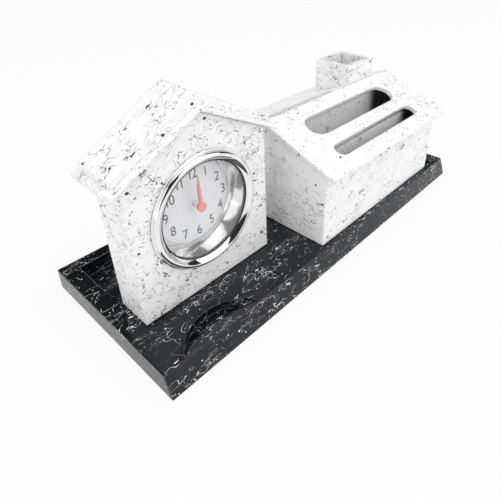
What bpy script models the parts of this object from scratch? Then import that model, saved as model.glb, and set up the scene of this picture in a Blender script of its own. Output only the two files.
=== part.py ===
"""Pen holder clock: two gabled houses on a desk tray.

The left house carries a chrome push-in clock, the right one is a box for cards and
pens under a slotted roof with a square chimney. Metres, +Z up. The origin lies under
the middle of the tray, at the height of the desk, and the front faces -Y.
"""

import math

import bmesh
import bpy
from mathutils import Matrix, Vector

# Clearances
SEAT_GAP = 0.0003
OVERRUN = 0.0010
SUNK = 0.0006

# Tray
TRAY_LENGTH = 0.2400
TRAY_DEPTH = 0.0906
TRAY_TOP = 0.0120
TRAY_FRONT_FLARE = 0.0039
TRAY_END_FLARE = 0.0003
TRAY_BACK_FLARE = 0.0002
TRAY_EDGE_ROUND = 0.0005
TRAY_SKIN = 0.0024
TRAY_SKIRT = 0.0028
TRAY_RIB = 0.0020

# Inclined trough behind the clock house
TROUGH_LEFT_RIM = 0.0083
TROUGH_BACK_RIM = 0.0068
TROUGH_RUN = 0.0261
TROUGH_DROP = 0.0082
TROUGH_HOUSE_LEDGE = 0.0012

# Channel on the right of the pen house
CHANNEL_RIGHT_RIM = 0.0100
CHANNEL_FRONT_RIM = 0.0031
CHANNEL_DROP = 0.0082
CHANNEL_HOUSE_LEDGE = 0.0010

# Round clip dish at the tray's front edge
DISH_X = -0.0880
DISH_RADIUS = 0.0244
DISH_REACH = 0.0137
DISH_DROP = 0.0045

# Rubber feet
FOOT_RADIUS = 0.0050
FOOT_THICKNESS = 0.0016
FOOT_STAND = 0.0005
FOOT_INSET = 0.0120
FOOT_LAND = 0.0015

# Clock house
CLOCK_HOUSE_X = -0.07285
CLOCK_HOUSE_WIDTH = 0.0751
CLOCK_HOUSE_DEPTH = 0.0195
CLOCK_HOUSE_SETBACK = 0.0255
CLOCK_HOUSE_WALL = 0.0022
CLOCK_HOUSE_FRONT_WALL = 0.0025
CLOCK_COVER = 0.0020
CLOCK_EAVE_TOP = 0.0811
CLOCK_ROOF_PITCH = math.radians(26.9)
CLOCK_ROOF_SIDE_OVERHANG = 0.0051
CLOCK_ROOF_FRONT_OVERHANG = 0.0035
CLOCK_ROOF_BACK_OVERHANG = 0.0049
CLOCK_ROOF_BRIM = 0.0022
CLOCK_ROOF_PANEL = 0.0024
CLOCK_ROOF_PANEL_PITCH = math.radians(29.6)
CLOCK_ROOF_PANEL_INSET = 0.0025

# Pen house
PEN_HOUSE_X = 0.0410
PEN_HOUSE_LENGTH = 0.1162
PEN_HOUSE_DEPTH = 0.0792
PEN_HOUSE_SETBACK = 0.0022
PEN_HOUSE_WALL = 0.0022
PEN_HOUSE_FLOOR = 0.0022
PEN_EAVE_TOP = 0.0559
PEN_ROOF_PITCH = math.radians(20.6)
PEN_ROOF_EAVE_OVERHANG = 0.0059
PEN_ROOF_END_OVERHANG = 0.0020
PEN_ROOF_BRIM = 0.0024
PEN_ROOF_LIP = 0.0016
PEN_ROOF_LIP_DROP = 0.0030
HOUSE_CORNER_ROUND = 0.0006
ROOF_EDGE_ROUND = 0.0005

# Slots of the pen house's roof: middle and length along the ridge, then down the slope
FRONT_SLOT_LENGTH = 0.0800
FRONT_SLOT_MIDDLE_SHIFT = -0.0020
WIDE_SLOT_START = 0.0090
WIDE_SLOT_WIDTH = 0.0146
NARROW_SLOT_START = 0.0318
NARROW_SLOT_WIDTH = 0.0085
REAR_SLOT_LENGTH = 0.0590
REAR_SLOT_MIDDLE_SHIFT = -0.0235
REAR_SLOT_START = 0.0030
REAR_SLOT_WIDTH = 0.0095

# Partitions inside the pen house
PARTITION = 0.0016
PARTITION_GUIDE = 0.0016
PARTITION_GUIDE_REACH = 0.0024
PARTITION_TOP_GAP = 0.0040
FRONT_PARTITION_SETBACK = 0.0133
REAR_PARTITION_SETBACK = 0.0363

# Square chimney tube
CHIMNEY_LENGTH = 0.0278
CHIMNEY_DEPTH = 0.0255
CHIMNEY_WALL = 0.0035
CHIMNEY_TOP = 0.0841
CHIMNEY_SHIFT = 0.0312
CHIMNEY_BEHIND_RIDGE = 0.0017

# Self-tapping screws
SCREW_SHANK = 0.0014
SCREW_HEAD = 0.0028
SCREW_HEAD_HEIGHT = 0.0018
SCREW_LENGTH = 0.0085
SCREW_SLOT = 0.0007
SCREW_CLEARANCE = 0.0003
SCREW_BOSS = 0.0030
SCREW_BOSS_HEIGHT = 0.0120

# Push-in clock; its depths are counted back from the clock house's front face
DIAL_HEIGHT = 0.0537
BEZEL_RADIUS = 0.0282
BEZEL_OPENING = 0.0229
BEZEL_RISE = 0.0026
BEZEL_ROUND = 0.0018
BEZEL_LIP = 0.0005
LENS_RADIUS = 0.0237
LENS_THICKNESS = 0.0007
REFLECTOR_WALL = 0.0006
DIAL_DEPTH = 0.0080
DIAL_SIGHT = 0.0193
DIAL_RADIUS = 0.0236
DIAL_THICKNESS = 0.0005
CUP_RADIUS = 0.0247
CUP_WALL = 0.0006
CUP_LEDGE = 0.0017
CUP_BACK = 0.0008
CUP_DEPTH = 0.0164
GRIP_THICKNESS = 0.0006
GRIP_GAP = 0.0002
GRIP_LENGTH = 0.0018
COVER_OPENING = 0.0240

# Hands
HAND_HUB = 0.0022
HAND_LEAN = math.radians(2.2)
HAND_THICKNESS = 0.0004
HAND_ROOT_WIDTH = 0.0019
HAND_TIP_WIDTH = 0.0005
MINUTE_HAND_LENGTH = 0.0166
MINUTE_HAND_DEPTH = 0.0028
MINUTE_HUB_HEIGHT = 0.0009
HOUR_HAND_LENGTH = 0.0118
HOUR_HAND_DEPTH = 0.0038

# Movement: plates, layers of wheels and running clearance
PLATE_RADIUS = 0.0236
PLATE_THICKNESS = 0.0010
WHEEL_THICKNESS = 0.0006
LAYER_GAP = 0.00035
BRIDGE_RADIUS = 0.0126
BRIDGE_SHIFT = 0.0010
BRIDGE_THICKNESS = 0.0006
BRIDGE_GAP = 0.0003
PILLAR_RADIUS = 0.0011
RUNNING_CLEARANCE = 0.00006
CENTRE_ARBOR = 0.00045
HOUR_TUBE = 0.00095
STUD_RADIUS = 0.00050
ARBOR_RADIUS = 0.00030
ROTOR_ARBOR = 0.00025
STEM_RADIUS = 0.00060
MAGNET_RADIUS = 0.0016
MAGNET_THICKNESS = 0.0010
MAGNET_AIR_GAP = 0.0003

# Gears: a module is the pitch diameter for each tooth
TRAIN_MODULE = 0.00024
ROTOR_MODULE = 0.00022
HOUR_MODULE = 0.00020
CENTRE_TEETH = 60
INTERMEDIATE_PINION_TEETH = 6
INTERMEDIATE_TEETH = 54
ROTOR_PINION_TEETH = 6
CANNON_TEETH = 12
MINUTE_TEETH = 36
MINUTE_PINION_TEETH = 10
HOUR_TEETH = 40
SETTING_TEETH = 12
ROOT_SHARE = 0.56
WHEEL_TIP_SHARE = 0.22
PINION_TIP_SHARE = 0.26
ADDENDUM_SHARE = 1.00
DEDENDUM_SHARE = 1.25

# Directions from one axis to the next, seen from the front
INTERMEDIATE_DIRECTION = math.radians(100)
ROTOR_DIRECTION = math.radians(10)
MINUTE_DIRECTION = math.radians(230)

# Motor coil and stator, beside the rotor
COIL_MIDDLE_X = 0.0015
COIL_Y = 0.0166
COIL_FEET = 0.0150
COIL_FOOT_HALF = 0.0013
COIL_LENGTH = 0.0104
COIL_RADIUS = 0.00125
BOBBIN_RADIUS = 0.0014
BOBBIN_FLANGE = 0.0005
BOBBIN_BARREL = 0.0009
COIL_GAP = 0.0001
CORE_HALF = 0.0004
STATOR_THICKNESS = 0.0006
STATOR_HALF = 0.0032

# Circuit board, crystal and battery
BOARD_X = -0.0163
BOARD_Y = 0.0005
BOARD_WIDTH = 0.0055
BOARD_HEIGHT = 0.0110
BOARD_THICKNESS = 0.0006
CRYSTAL_RADIUS = 0.0009
CRYSTAL_LENGTH = 0.0060
BATTERY_X = 0.0114
BATTERY_Y = -0.0104
BATTERY_RADIUS = 0.0058
BATTERY_RIM_ROUND = 0.0003
BATTERY_THICKNESS = 0.00305
BATTERY_WELL_WALL = 0.0013
CONTACT_THICKNESS = 0.0002
CONTACT_WIDTH = 0.0016
CONTACT_ARC_RADIUS = 0.0195
HATCH_THICKNESS = 0.0014
HATCH_LUG_REACH = 0.0008
HATCH_LUG_WIDTH = 0.0030
HATCH_LUG_THICKNESS = 0.0004
HATCH_SLOT_WIDTH = 0.0012
HATCH_SLOT_DEPTH = 0.0006
HATCH_TURN = math.radians(60)

# Setting knob on the back
KNOB_RADIUS = 0.0033
KNOB_THICKNESS = 0.0020
KNOB_RIDGES = 18
KNOB_RIDGE_HEIGHT = 0.0003

# Screws of the movement
PLATE_SCREW_SHANK = 0.0004
PLATE_SCREW_HEAD = 0.0009
PLATE_SCREW_HEAD_HEIGHT = 0.00045
PLATE_SCREW_LENGTH = 0.0025
PLATE_SCREW_SLOT = 0.0002

# Front faces, edges and heights that follow from the sizes above
TRAY_FRONT = -(TRAY_DEPTH + TRAY_BACK_FLARE - TRAY_FRONT_FLARE) / 2
TRAY_BACK = TRAY_FRONT + TRAY_DEPTH
CLOCK_FRONT = TRAY_FRONT + CLOCK_HOUSE_SETBACK
CLOCK_BACK = CLOCK_FRONT + CLOCK_HOUSE_DEPTH
PEN_FRONT = TRAY_FRONT + PEN_HOUSE_SETBACK
PEN_BACK = PEN_FRONT + PEN_HOUSE_DEPTH
PEN_RIDGE_Y = (PEN_FRONT + PEN_BACK) / 2
PEN_LEFT = PEN_HOUSE_X - PEN_HOUSE_LENGTH / 2
PEN_RIGHT = PEN_HOUSE_X + PEN_HOUSE_LENGTH / 2
CHIMNEY_X = PEN_HOUSE_X + CHIMNEY_SHIFT
CHIMNEY_Y = PEN_RIDGE_Y + CHIMNEY_BEHIND_RIDGE + CHIMNEY_DEPTH / 2
HOUSE_BOTTOM = TRAY_TOP + SEAT_GAP

FINE_STEPS = 40
ROUND_STEPS = 24
SMALL_STEPS = 12
SCREW_STEPS = 10


# Scene, materials and the basic solids

def clear_scene():
    for item in list(bpy.data.objects):
        bpy.data.objects.remove(item, do_unlink=True)


def new_collection(name):
    collection = bpy.data.collections.new(name)
    bpy.context.scene.collection.children.link(collection)
    return collection


def finish(name, colour, roughness, metallic=0.0):
    material = bpy.data.materials.new(name)
    material.use_nodes = True
    shader = material.node_tree.nodes["Principled BSDF"]
    shader.inputs["Base Color"].default_value = (*colour, 1.0)
    shader.inputs["Roughness"].default_value = roughness
    shader.inputs["Metallic"].default_value = metallic
    material.diffuse_color = (*colour, 1.0)
    return material


clear_scene()
PARTS = new_collection("pen_holder_clock")
CUTTERS = new_collection("cutters")

WHITE_MARBLE = finish("white_marble", (0.86, 0.86, 0.87), 0.18)
BLACK_MARBLE = finish("black_marble", (0.03, 0.03, 0.035), 0.15)
CHROME = finish("chrome", (0.80, 0.81, 0.83), 0.06, 1.0)
CLEAR = finish("clear_lens", (0.90, 0.92, 0.94), 0.03)
DIAL_WHITE = finish("dial_white", (0.74, 0.74, 0.80), 0.35)
HAND_RED = finish("hand_red", (0.75, 0.20, 0.17), 0.35)
GREY_PLASTIC = finish("grey_plastic", (0.30, 0.31, 0.33), 0.45)
BLACK_PLASTIC = finish("black_plastic", (0.03, 0.03, 0.03), 0.45)
RUBBER = finish("rubber", (0.02, 0.02, 0.02), 0.80)
STEEL = finish("steel", (0.55, 0.56, 0.58), 0.30, 1.0)
BRASS = finish("brass", (0.72, 0.55, 0.25), 0.30, 1.0)
COPPER = finish("copper_wire", (0.75, 0.36, 0.20), 0.35, 1.0)
BOARD_GREEN = finish("board_green", (0.05, 0.25, 0.12), 0.50)
NYLON = finish("nylon", (0.85, 0.84, 0.78), 0.50)


def add_object(name, mesh, material, place=None, parent=None):
    mesh.materials.clear()
    mesh.materials.append(material)
    item = bpy.data.objects.new(name, mesh)
    PARTS.objects.link(item)
    item.parent = parent
    item.matrix_local = place or Matrix.Identity(4)
    return item


def as_cutter(item):
    PARTS.objects.unlink(item)
    CUTTERS.objects.link(item)
    item.hide_render = True
    item.display_type = "WIRE"
    return item


def combine(item, other, operation):
    modifier = item.modifiers.new(f"{operation.lower()}_{other.name}", "BOOLEAN")
    modifier.operation = operation
    modifier.object = as_cutter(other)
    return item


def cut(item, other):
    return combine(item, other, "DIFFERENCE")


def join(item, other):
    return combine(item, other, "UNION")


def round_edges(item, width, segments=2):
    modifier = item.modifiers.new("rounded_edges", "BEVEL")
    modifier.width = width
    modifier.segments = segments
    modifier.limit_method = "ANGLE"
    modifier.angle_limit = math.radians(25)
    return item


def mesh_from(name, bm, smooth_angle=math.radians(35)):
    mesh = bpy.data.meshes.new(name)
    bm.to_mesh(mesh)
    bm.free()
    mesh.shade_smooth()
    mesh.set_sharp_from_angle(angle=smooth_angle)
    return mesh


def at(x, y, z):
    return Matrix.Translation((x, y, z))


def facing_front(x, y, z):
    """Local X stays right, local Y points up and local Z comes out of the front."""
    return at(x, y, z) @ Matrix.Rotation(math.radians(90), 4, "X")


def along_ridge(x, y, z):
    """Local X points to the back, local Y up and local Z to the right."""
    turn = Matrix(((0, 0, 1, 0), (1, 0, 0, 0), (0, 1, 0, 0), (0, 0, 0, 1)))
    return at(x, y, z) @ turn


def box(name, low, high, material, parent=None):
    low, high = Vector(low), Vector(high)
    bm = bmesh.new()
    bmesh.ops.create_cube(bm, size=1, matrix=Matrix.Diagonal((*(high - low), 1)))
    return add_object(name, mesh_from(name, bm), material, at(*((low + high) / 2)), parent)


def rod(name, radius, length, material, place=None, parent=None, steps=SMALL_STEPS, tip=None):
    """Cylinder or cone along local Z, with the origin in the middle of its length."""
    bm = bmesh.new()
    bmesh.ops.create_cone(
        bm, cap_ends=True, segments=steps, radius1=radius,
        radius2=radius if tip is None else tip, depth=length,
    )
    return add_object(name, mesh_from(name, bm), material, place, parent)


def outline_solid(name, loops, thickness, material, place=None, parent=None):
    """Flat outline, with any further loops as its holes, given a thickness along local Z."""
    curve = bpy.data.curves.new(name, "CURVE")
    curve.dimensions = "2D"
    curve.fill_mode = "BOTH"
    curve.extrude = thickness / 2
    for loop in loops:
        spline = curve.splines.new("POLY")
        spline.points.add(len(loop) - 1)
        for point, (x, y) in zip(spline.points, loop):
            point.co = (x, y, 0, 1)
        spline.use_cyclic_u = True
    drawn = bpy.data.objects.new(name + "_outline", curve)
    bpy.context.scene.collection.objects.link(drawn)
    mesh = bpy.data.meshes.new_from_object(drawn.evaluated_get(bpy.context.evaluated_depsgraph_get()))
    bpy.data.objects.remove(drawn)
    bpy.data.curves.remove(curve)
    bm = bmesh.new()
    bm.from_mesh(mesh)
    bpy.data.meshes.remove(mesh)
    bmesh.ops.remove_doubles(bm, verts=bm.verts, dist=thickness / 1000)
    bmesh.ops.recalc_face_normals(bm, faces=bm.faces)
    return add_object(name, mesh_from(name, bm), material, place, parent)


def turned(name, profile, material, place=None, parent=None, steps=ROUND_STEPS, ring=False):
    """Profile of (radius, height) points, down its outer side, turned round local Z."""
    bm = bmesh.new()
    corners = [bm.verts.new((radius, 0, height)) for radius, height in profile]
    for start, end in zip(corners, corners[1:]):
        bm.edges.new((start, end))
    if ring:
        bm.edges.new((corners[-1], corners[0]))
    item = add_object(name, mesh_from(name, bm), material, place, parent)
    screw = item.modifiers.new("turned", "SCREW")
    screw.steps = steps
    screw.render_steps = steps
    screw.use_merge_vertices = True
    screw.merge_threshold = SEAT_GAP / 1000
    screw.use_smooth_shade = True
    return item


def arc(centre, radius, start, end, steps):
    """Points on an arc, angles in degrees."""
    turns = [math.radians(start + (end - start) * step / steps) for step in range(steps + 1)]
    return [(centre[0] + radius * math.cos(t), centre[1] + radius * math.sin(t)) for t in turns]


def circle(centre, radius, steps):
    return arc(centre, radius, 0, 360, steps)[:-1]


# Gabled outlines, drawn with X across the ridge and Y up

def gable_outline(half_width, bottom, side_top, pitch):
    ridge = side_top + half_width * math.tan(pitch)
    return [
        (-half_width, bottom), (half_width, bottom), (half_width, side_top),
        (0, ridge), (-half_width, side_top),
    ]


def chevron_outline(half_width, edge_top, edge_bottom, pitch, top_pitch):
    rise = half_width * math.tan(pitch)
    top_rise = half_width * math.tan(top_pitch)
    return [
        (-half_width, edge_bottom), (0, edge_bottom + rise), (half_width, edge_bottom),
        (half_width, edge_top), (0, edge_top + top_rise), (-half_width, edge_top),
    ]


def slot_outline(length, width):
    """Slot with half-round ends, its middle at the origin and its length along X."""
    radius = width / 2
    reach = length / 2 - radius
    return arc((reach, 0), radius, -90, 90, SMALL_STEPS // 2) + arc(
        (-reach, 0), radius, 90, 270, SMALL_STEPS // 2
    )


# Screws: pan head below, shank upwards from the origin under the head

HOUSE_SCREW = (SCREW_SHANK, SCREW_HEAD, SCREW_HEAD_HEIGHT, SCREW_LENGTH, SCREW_SLOT)
PLATE_SCREW = (
    PLATE_SCREW_SHANK, PLATE_SCREW_HEAD, PLATE_SCREW_HEAD_HEIGHT, PLATE_SCREW_LENGTH,
    PLATE_SCREW_SLOT,
)


def screw(name, place, parent=None, sizes=HOUSE_SCREW):
    shank, head, head_height, length, slot = sizes
    profile = [(0, length), (shank, length - 2 * shank), (shank, 0)]
    profile += pan_head_profile(head, head_height)
    item = turned(name, profile, STEEL, place, parent, steps=SCREW_STEPS)
    bar = box(
        name + "_slot", (-2 * head, -slot / 2, -head_height - OVERRUN),
        (2 * head, slot / 2, slot - head_height), STEEL, parent,
    )
    bar.matrix_local = place @ bar.matrix_local
    return cut(item, bar)


def pan_head_profile(head, height):
    """Side and low crown of a pan head, from its seat down to its middle."""
    side = -height / 2
    return [
        (head, 0), (head, side), (head * math.cos(math.pi / 6), side - height / 4), (0, -height)
    ]


# Tray with its trough, channel, dish, hollow underside and feet

TRAY_BOTTOM = FOOT_STAND
POCKET_LEFT = -TRAY_LENGTH / 2 + TRAY_SKIRT
POCKET_FRONT = TRAY_FRONT + TRAY_SKIRT
POCKET_BACK = TRAY_BACK - TRAY_SKIRT
TROUGH_BACK = TRAY_BACK - TROUGH_BACK_RIM
TROUGH_FRONT = TROUGH_BACK - TROUGH_RUN
TROUGH_LEFT = -TRAY_LENGTH / 2 + TROUGH_LEFT_RIM
TROUGH_RIGHT = PEN_LEFT - TROUGH_HOUSE_LEDGE
CHANNEL_LEFT = PEN_RIGHT + CHANNEL_HOUSE_LEDGE
CHANNEL_RIGHT = TRAY_LENGTH / 2 - CHANNEL_RIGHT_RIM
CHANNEL_FRONT = TRAY_FRONT + CHANNEL_FRONT_RIM
DISH_CENTRE_Y = TRAY_FRONT + DISH_REACH - DISH_RADIUS


def foot_places():
    for side in (-1, 1):
        for y in (TRAY_FRONT + FOOT_INSET, TRAY_BACK - FOOT_INSET):
            yield side * (TRAY_LENGTH / 2 - FOOT_INSET), y


def tray_block():
    """Plain slab whose bottom edge spreads beyond its top."""
    bm = bmesh.new()
    bmesh.ops.create_cube(bm, size=1)
    for vert in bm.verts:
        low = vert.co.z < 0
        vert.co.x *= TRAY_LENGTH + (2 * TRAY_END_FLARE if low else 0)
        front = TRAY_FRONT - (TRAY_FRONT_FLARE if low else 0)
        back = TRAY_BACK + (TRAY_BACK_FLARE if low else 0)
        vert.co.y = front if vert.co.y < 0 else back
        vert.co.z = TRAY_BOTTOM if low else TRAY_TOP
    tray = add_object("tray_base", mesh_from("tray_base", bm), BLACK_MARBLE)
    return round_edges(tray, TRAY_EDGE_ROUND)


def trough_cutter():
    """Wedge that starts level with the top and is deepest at the back wall."""
    slope = TROUGH_DROP / TROUGH_RUN
    section = [
        (TROUGH_FRONT - OVERRUN / slope, TRAY_TOP + OVERRUN), (TROUGH_BACK, TRAY_TOP - TROUGH_DROP),
        (TROUGH_BACK, TRAY_TOP + OVERRUN),
    ]
    middle = (TROUGH_LEFT + TROUGH_RIGHT) / 2
    length = TROUGH_RIGHT - TROUGH_LEFT
    return outline_solid("trough_cutter", [section], length, BLACK_MARBLE, along_ridge(middle, 0, 0))


def dish_cutter():
    """Upright cylinder whose slanted floor rises to nothing at the tray's front edge."""
    height = 2 * DISH_DROP
    dish = rod(
        "dish_cutter", DISH_RADIUS, height, BLACK_MARBLE,
        at(DISH_X, DISH_CENTRE_Y, TRAY_TOP), steps=FINE_STEPS,
    )
    slope = DISH_DROP / DISH_REACH
    section = [
        (TRAY_FRONT - OVERRUN / slope, TRAY_TOP + OVERRUN),
        (TRAY_FRONT + DISH_REACH + OVERRUN, TRAY_TOP - DISH_DROP - slope * OVERRUN),
        (TRAY_FRONT + DISH_REACH + OVERRUN, TRAY_TOP + 2 * OVERRUN),
    ]
    wedge = outline_solid(
        "dish_slope", [section], 3 * DISH_RADIUS, BLACK_MARBLE, along_ridge(DISH_X, 0, 0)
    )
    return combine(dish, wedge, "INTERSECT")


def pocket(name, left, right, front, back, ceiling):
    """Hollow under the tray, open at the bottom; a foot's column stays in it."""
    item = box(name, (left, front, TRAY_BOTTOM - OVERRUN), (right, back, ceiling), BLACK_MARBLE)
    return leave_foot_columns(item, left, right, front, back)


def leave_foot_columns(item, left, right, front, back):
    for index, (x, y) in enumerate(foot_places()):
        reach = FOOT_RADIUS + SEAT_GAP + FOOT_LAND
        if left < x + reach and x - reach < right and front < y + reach and y - reach < back:
            column = rod(
                f"{item.name}_column_{index}", reach, 4 * TRAY_TOP, BLACK_MARBLE, at(x, y, 0),
                steps=ROUND_STEPS,
            )
            cut(item, column)
    return item


def trough_pocket(front):
    """Hollow whose ceiling runs a skin's thickness under the trough's floor."""
    slope = TROUGH_DROP / TROUGH_RUN
    ceiling = TRAY_TOP - TRAY_SKIN
    skin_drop = TRAY_SKIN * math.sqrt(1 + slope * slope) - TRAY_SKIN
    section = [
        (front, TRAY_BOTTOM - OVERRUN), (TROUGH_BACK, TRAY_BOTTOM - OVERRUN),
        (TROUGH_BACK, ceiling - skin_drop - TROUGH_DROP), (TROUGH_FRONT, ceiling - skin_drop),
        (front, ceiling - skin_drop),
    ]
    middle = (POCKET_LEFT + TROUGH_RIGHT) / 2
    length = TROUGH_RIGHT - POCKET_LEFT
    item = outline_solid("trough_pocket", [section], length, BLACK_MARBLE, along_ridge(middle, 0, 0))
    return leave_foot_columns(item, POCKET_LEFT, TROUGH_RIGHT, front, TROUGH_BACK)


def house_screw_places():
    """Screws that come up through the tray into the bosses of the two houses."""
    reach = CLOCK_HOUSE_WIDTH / 2 - CLOCK_HOUSE_WALL - SCREW_BOSS + SUNK
    y = (CLOCK_FRONT + CLOCK_HOUSE_FRONT_WALL + CLOCK_BACK - CLOCK_COVER) / 2
    yield "clock_house_screw_left", (CLOCK_HOUSE_X - reach, y)
    yield "clock_house_screw_right", (CLOCK_HOUSE_X + reach, y)
    reach = PEN_HOUSE_LENGTH / 2 - PEN_HOUSE_WALL - 2 * SCREW_BOSS
    y = PEN_FRONT + PEN_HOUSE_WALL + 2 * SCREW_BOSS
    yield "pen_house_screw_left", (PEN_HOUSE_X - reach, y)
    yield "pen_house_screw_right", (PEN_HOUSE_X + reach, 2 * PEN_RIDGE_Y - y)


def make_tray():
    tray = tray_block()
    cut(tray, trough_cutter())
    cut(tray, box(
        "channel_cutter", (CHANNEL_LEFT, CHANNEL_FRONT, TRAY_TOP - CHANNEL_DROP),
        (CHANNEL_RIGHT, TROUGH_BACK, TRAY_TOP + OVERRUN), BLACK_MARBLE,
    ))
    cut(tray, dish_cutter())
    ceiling = TRAY_TOP - TRAY_SKIN
    dish_back = TRAY_FRONT + DISH_REACH + TRAY_SKIN
    dish_right = DISH_X + DISH_RADIUS + TRAY_SKIN
    middle = PEN_HOUSE_X
    trough_start = TROUGH_FRONT - TRAY_RIB
    cut(tray, pocket(
        "dish_pocket", POCKET_LEFT, dish_right, POCKET_FRONT, dish_back, ceiling - DISH_DROP
    ))
    cut(tray, pocket(
        "front_pocket", dish_right + TRAY_RIB, TROUGH_RIGHT, POCKET_FRONT, dish_back, ceiling
    ))
    cut(tray, pocket(
        "clock_pocket", POCKET_LEFT, TROUGH_RIGHT, dish_back + TRAY_RIB, trough_start, ceiling
    ))
    cut(tray, trough_pocket(trough_start + TRAY_RIB))
    cut(tray, pocket(
        "pen_pocket_left", PEN_LEFT + TRAY_RIB, middle - TRAY_RIB / 2, POCKET_FRONT, POCKET_BACK,
        ceiling,
    ))
    cut(tray, pocket(
        "pen_pocket_right", middle + TRAY_RIB / 2, PEN_RIGHT - TRAY_RIB, POCKET_FRONT, POCKET_BACK,
        ceiling,
    ))
    for name, (x, y) in house_screw_places():
        hole = rod(
            name + "_hole", SCREW_SHANK + SCREW_CLEARANCE, 2 * TRAY_TOP, BLACK_MARBLE,
            at(x, y, TRAY_TOP),
        )
        cut(tray, hole)
        well = rod(
            name + "_well", SCREW_HEAD + SCREW_CLEARANCE, 2 * ceiling - SEAT_GAP, BLACK_MARBLE,
            at(x, y, 0),
        )
        cut(tray, well)
        screw(name, at(x, y, ceiling - SEAT_GAP))
    for index, (x, y) in enumerate(foot_places()):
        seat = rod(
            f"foot_seat_{index}", FOOT_RADIUS + SEAT_GAP, 2 * (FOOT_THICKNESS + SEAT_GAP),
            BLACK_MARBLE, at(x, y, 0), steps=ROUND_STEPS,
        )
        cut(tray, seat)
        rod(
            f"foot_pad_{index + 1}", FOOT_RADIUS, FOOT_THICKNESS, RUBBER,
            at(x, y, FOOT_THICKNESS / 2), steps=ROUND_STEPS,
        )
    return tray


# Gabled roofs, a brim with or without a raised panel on it

def gable_roof(name, half_width, length, edge_top, pitch, brim, place):
    """Folded plate with its ridge along local Z and the eaves' top edges at edge_top."""
    edge_bottom = edge_top - brim / math.cos(pitch)
    outline = chevron_outline(half_width, edge_top, edge_bottom, pitch, pitch)
    return round_edges(outline_solid(name, [outline], length, WHITE_MARBLE, place), ROOF_EDGE_ROUND)


def raised_panel(name, half_width, inset, length, edge_top, pitches, thickness, place):
    """Plate on a brim, thicker towards the ridge where its top is steeper than its seat."""
    pitch, top_pitch = pitches
    edge = edge_top + inset * math.tan(pitch)
    outline = chevron_outline(
        half_width - inset, edge + thickness / math.cos(pitch), edge - SUNK, pitch, top_pitch
    )
    panel = outline_solid(name, [outline], length - 2 * inset, WHITE_MARBLE, place)
    return round_edges(panel, ROOF_EDGE_ROUND)


# Clock house: front shell, back cover, roof and their screws

CLOCK_HALF_WIDTH = CLOCK_HOUSE_WIDTH / 2
CLOCK_ROOF_HALF = CLOCK_HALF_WIDTH + CLOCK_ROOF_SIDE_OVERHANG
CLOCK_SIDE_TOP = (
    CLOCK_EAVE_TOP + CLOCK_ROOF_SIDE_OVERHANG * math.tan(CLOCK_ROOF_PITCH)
    - CLOCK_ROOF_BRIM / math.cos(CLOCK_ROOF_PITCH) - SEAT_GAP
)
CLOCK_MIDDLE_Y = (CLOCK_FRONT + CLOCK_BACK) / 2


def inset_gable(half_width, bottom, side_top, pitch, inset):
    """The same gable with its sides and slopes moved in by a wall's thickness."""
    lowered = inset / math.cos(pitch) - inset * math.tan(pitch)
    return gable_outline(half_width - inset, bottom, side_top - lowered, pitch)


def cover_screw_places():
    reach = CLOCK_HALF_WIDTH - CLOCK_HOUSE_WALL - SCREW_BOSS - SCREW_HEAD / 2
    low = HOUSE_BOTTOM + SCREW_BOSS_HEIGHT + 2 * SCREW_BOSS
    ridge = CLOCK_SIDE_TOP + CLOCK_HALF_WIDTH * math.tan(CLOCK_ROOF_PITCH)
    yield "cover_screw_left", (CLOCK_HOUSE_X - reach, low)
    yield "cover_screw_right", (CLOCK_HOUSE_X + reach, low)
    yield "cover_screw_top", (CLOCK_HOUSE_X, ridge - CLOCK_HOUSE_WALL - 2 * SCREW_BOSS)


def make_clock_house():
    place = facing_front(CLOCK_HOUSE_X, CLOCK_MIDDLE_Y, 0)
    outer = gable_outline(CLOCK_HALF_WIDTH, HOUSE_BOTTOM, CLOCK_SIDE_TOP, CLOCK_ROOF_PITCH)
    shell = outline_solid("clock_house_shell", [outer], CLOCK_HOUSE_DEPTH, WHITE_MARBLE, place)
    round_edges(shell, HOUSE_CORNER_ROUND)
    inner = inset_gable(
        CLOCK_HALF_WIDTH, HOUSE_BOTTOM - OVERRUN, CLOCK_SIDE_TOP, CLOCK_ROOF_PITCH, CLOCK_HOUSE_WALL
    )
    inside = CLOCK_FRONT + CLOCK_HOUSE_FRONT_WALL
    depth = CLOCK_BACK + OVERRUN - inside
    cut(shell, outline_solid(
        "clock_house_room", [inner], depth, WHITE_MARBLE,
        facing_front(CLOCK_HOUSE_X, inside + depth / 2, 0),
    ))
    cut(shell, rod(
        "clock_hole", CUP_RADIUS + GRIP_THICKNESS + 2 * GRIP_GAP, 3 * CLOCK_HOUSE_FRONT_WALL,
        WHITE_MARBLE, facing_front(CLOCK_HOUSE_X, CLOCK_FRONT, DIAL_HEIGHT), steps=FINE_STEPS,
    ))
    bore = SCREW_SHANK + SCREW_CLEARANCE
    for name, (x, y) in house_screw_places():
        if name.startswith("clock"):
            middle = HOUSE_BOTTOM + SCREW_BOSS_HEIGHT / 2
            boss = rod(name + "_boss", SCREW_BOSS, SCREW_BOSS_HEIGHT, WHITE_MARBLE, at(x, y, middle))
            join(shell, boss)
            cut(shell, rod(
                name + "_bore", bore, SCREW_BOSS_HEIGHT, WHITE_MARBLE, at(x, y, middle - OVERRUN)
            ))
    cover_front = CLOCK_BACK - CLOCK_COVER
    boss_length = cover_front - SEAT_GAP - inside
    for name, (x, z) in cover_screw_places():
        middle = inside + boss_length / 2
        join(shell, rod(
            name + "_boss", SCREW_BOSS, boss_length + 2 * SUNK, WHITE_MARBLE,
            facing_front(x, middle - SUNK, z),
        ))
        cut(shell, rod(
            name + "_bore", bore, boss_length, WHITE_MARBLE, facing_front(x, middle + OVERRUN, z)
        ))
        head_seat = cover_front + CLOCK_COVER + SEAT_GAP
        screw(name, facing_front(x, head_seat, z))
    make_cover(cover_front)


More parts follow.
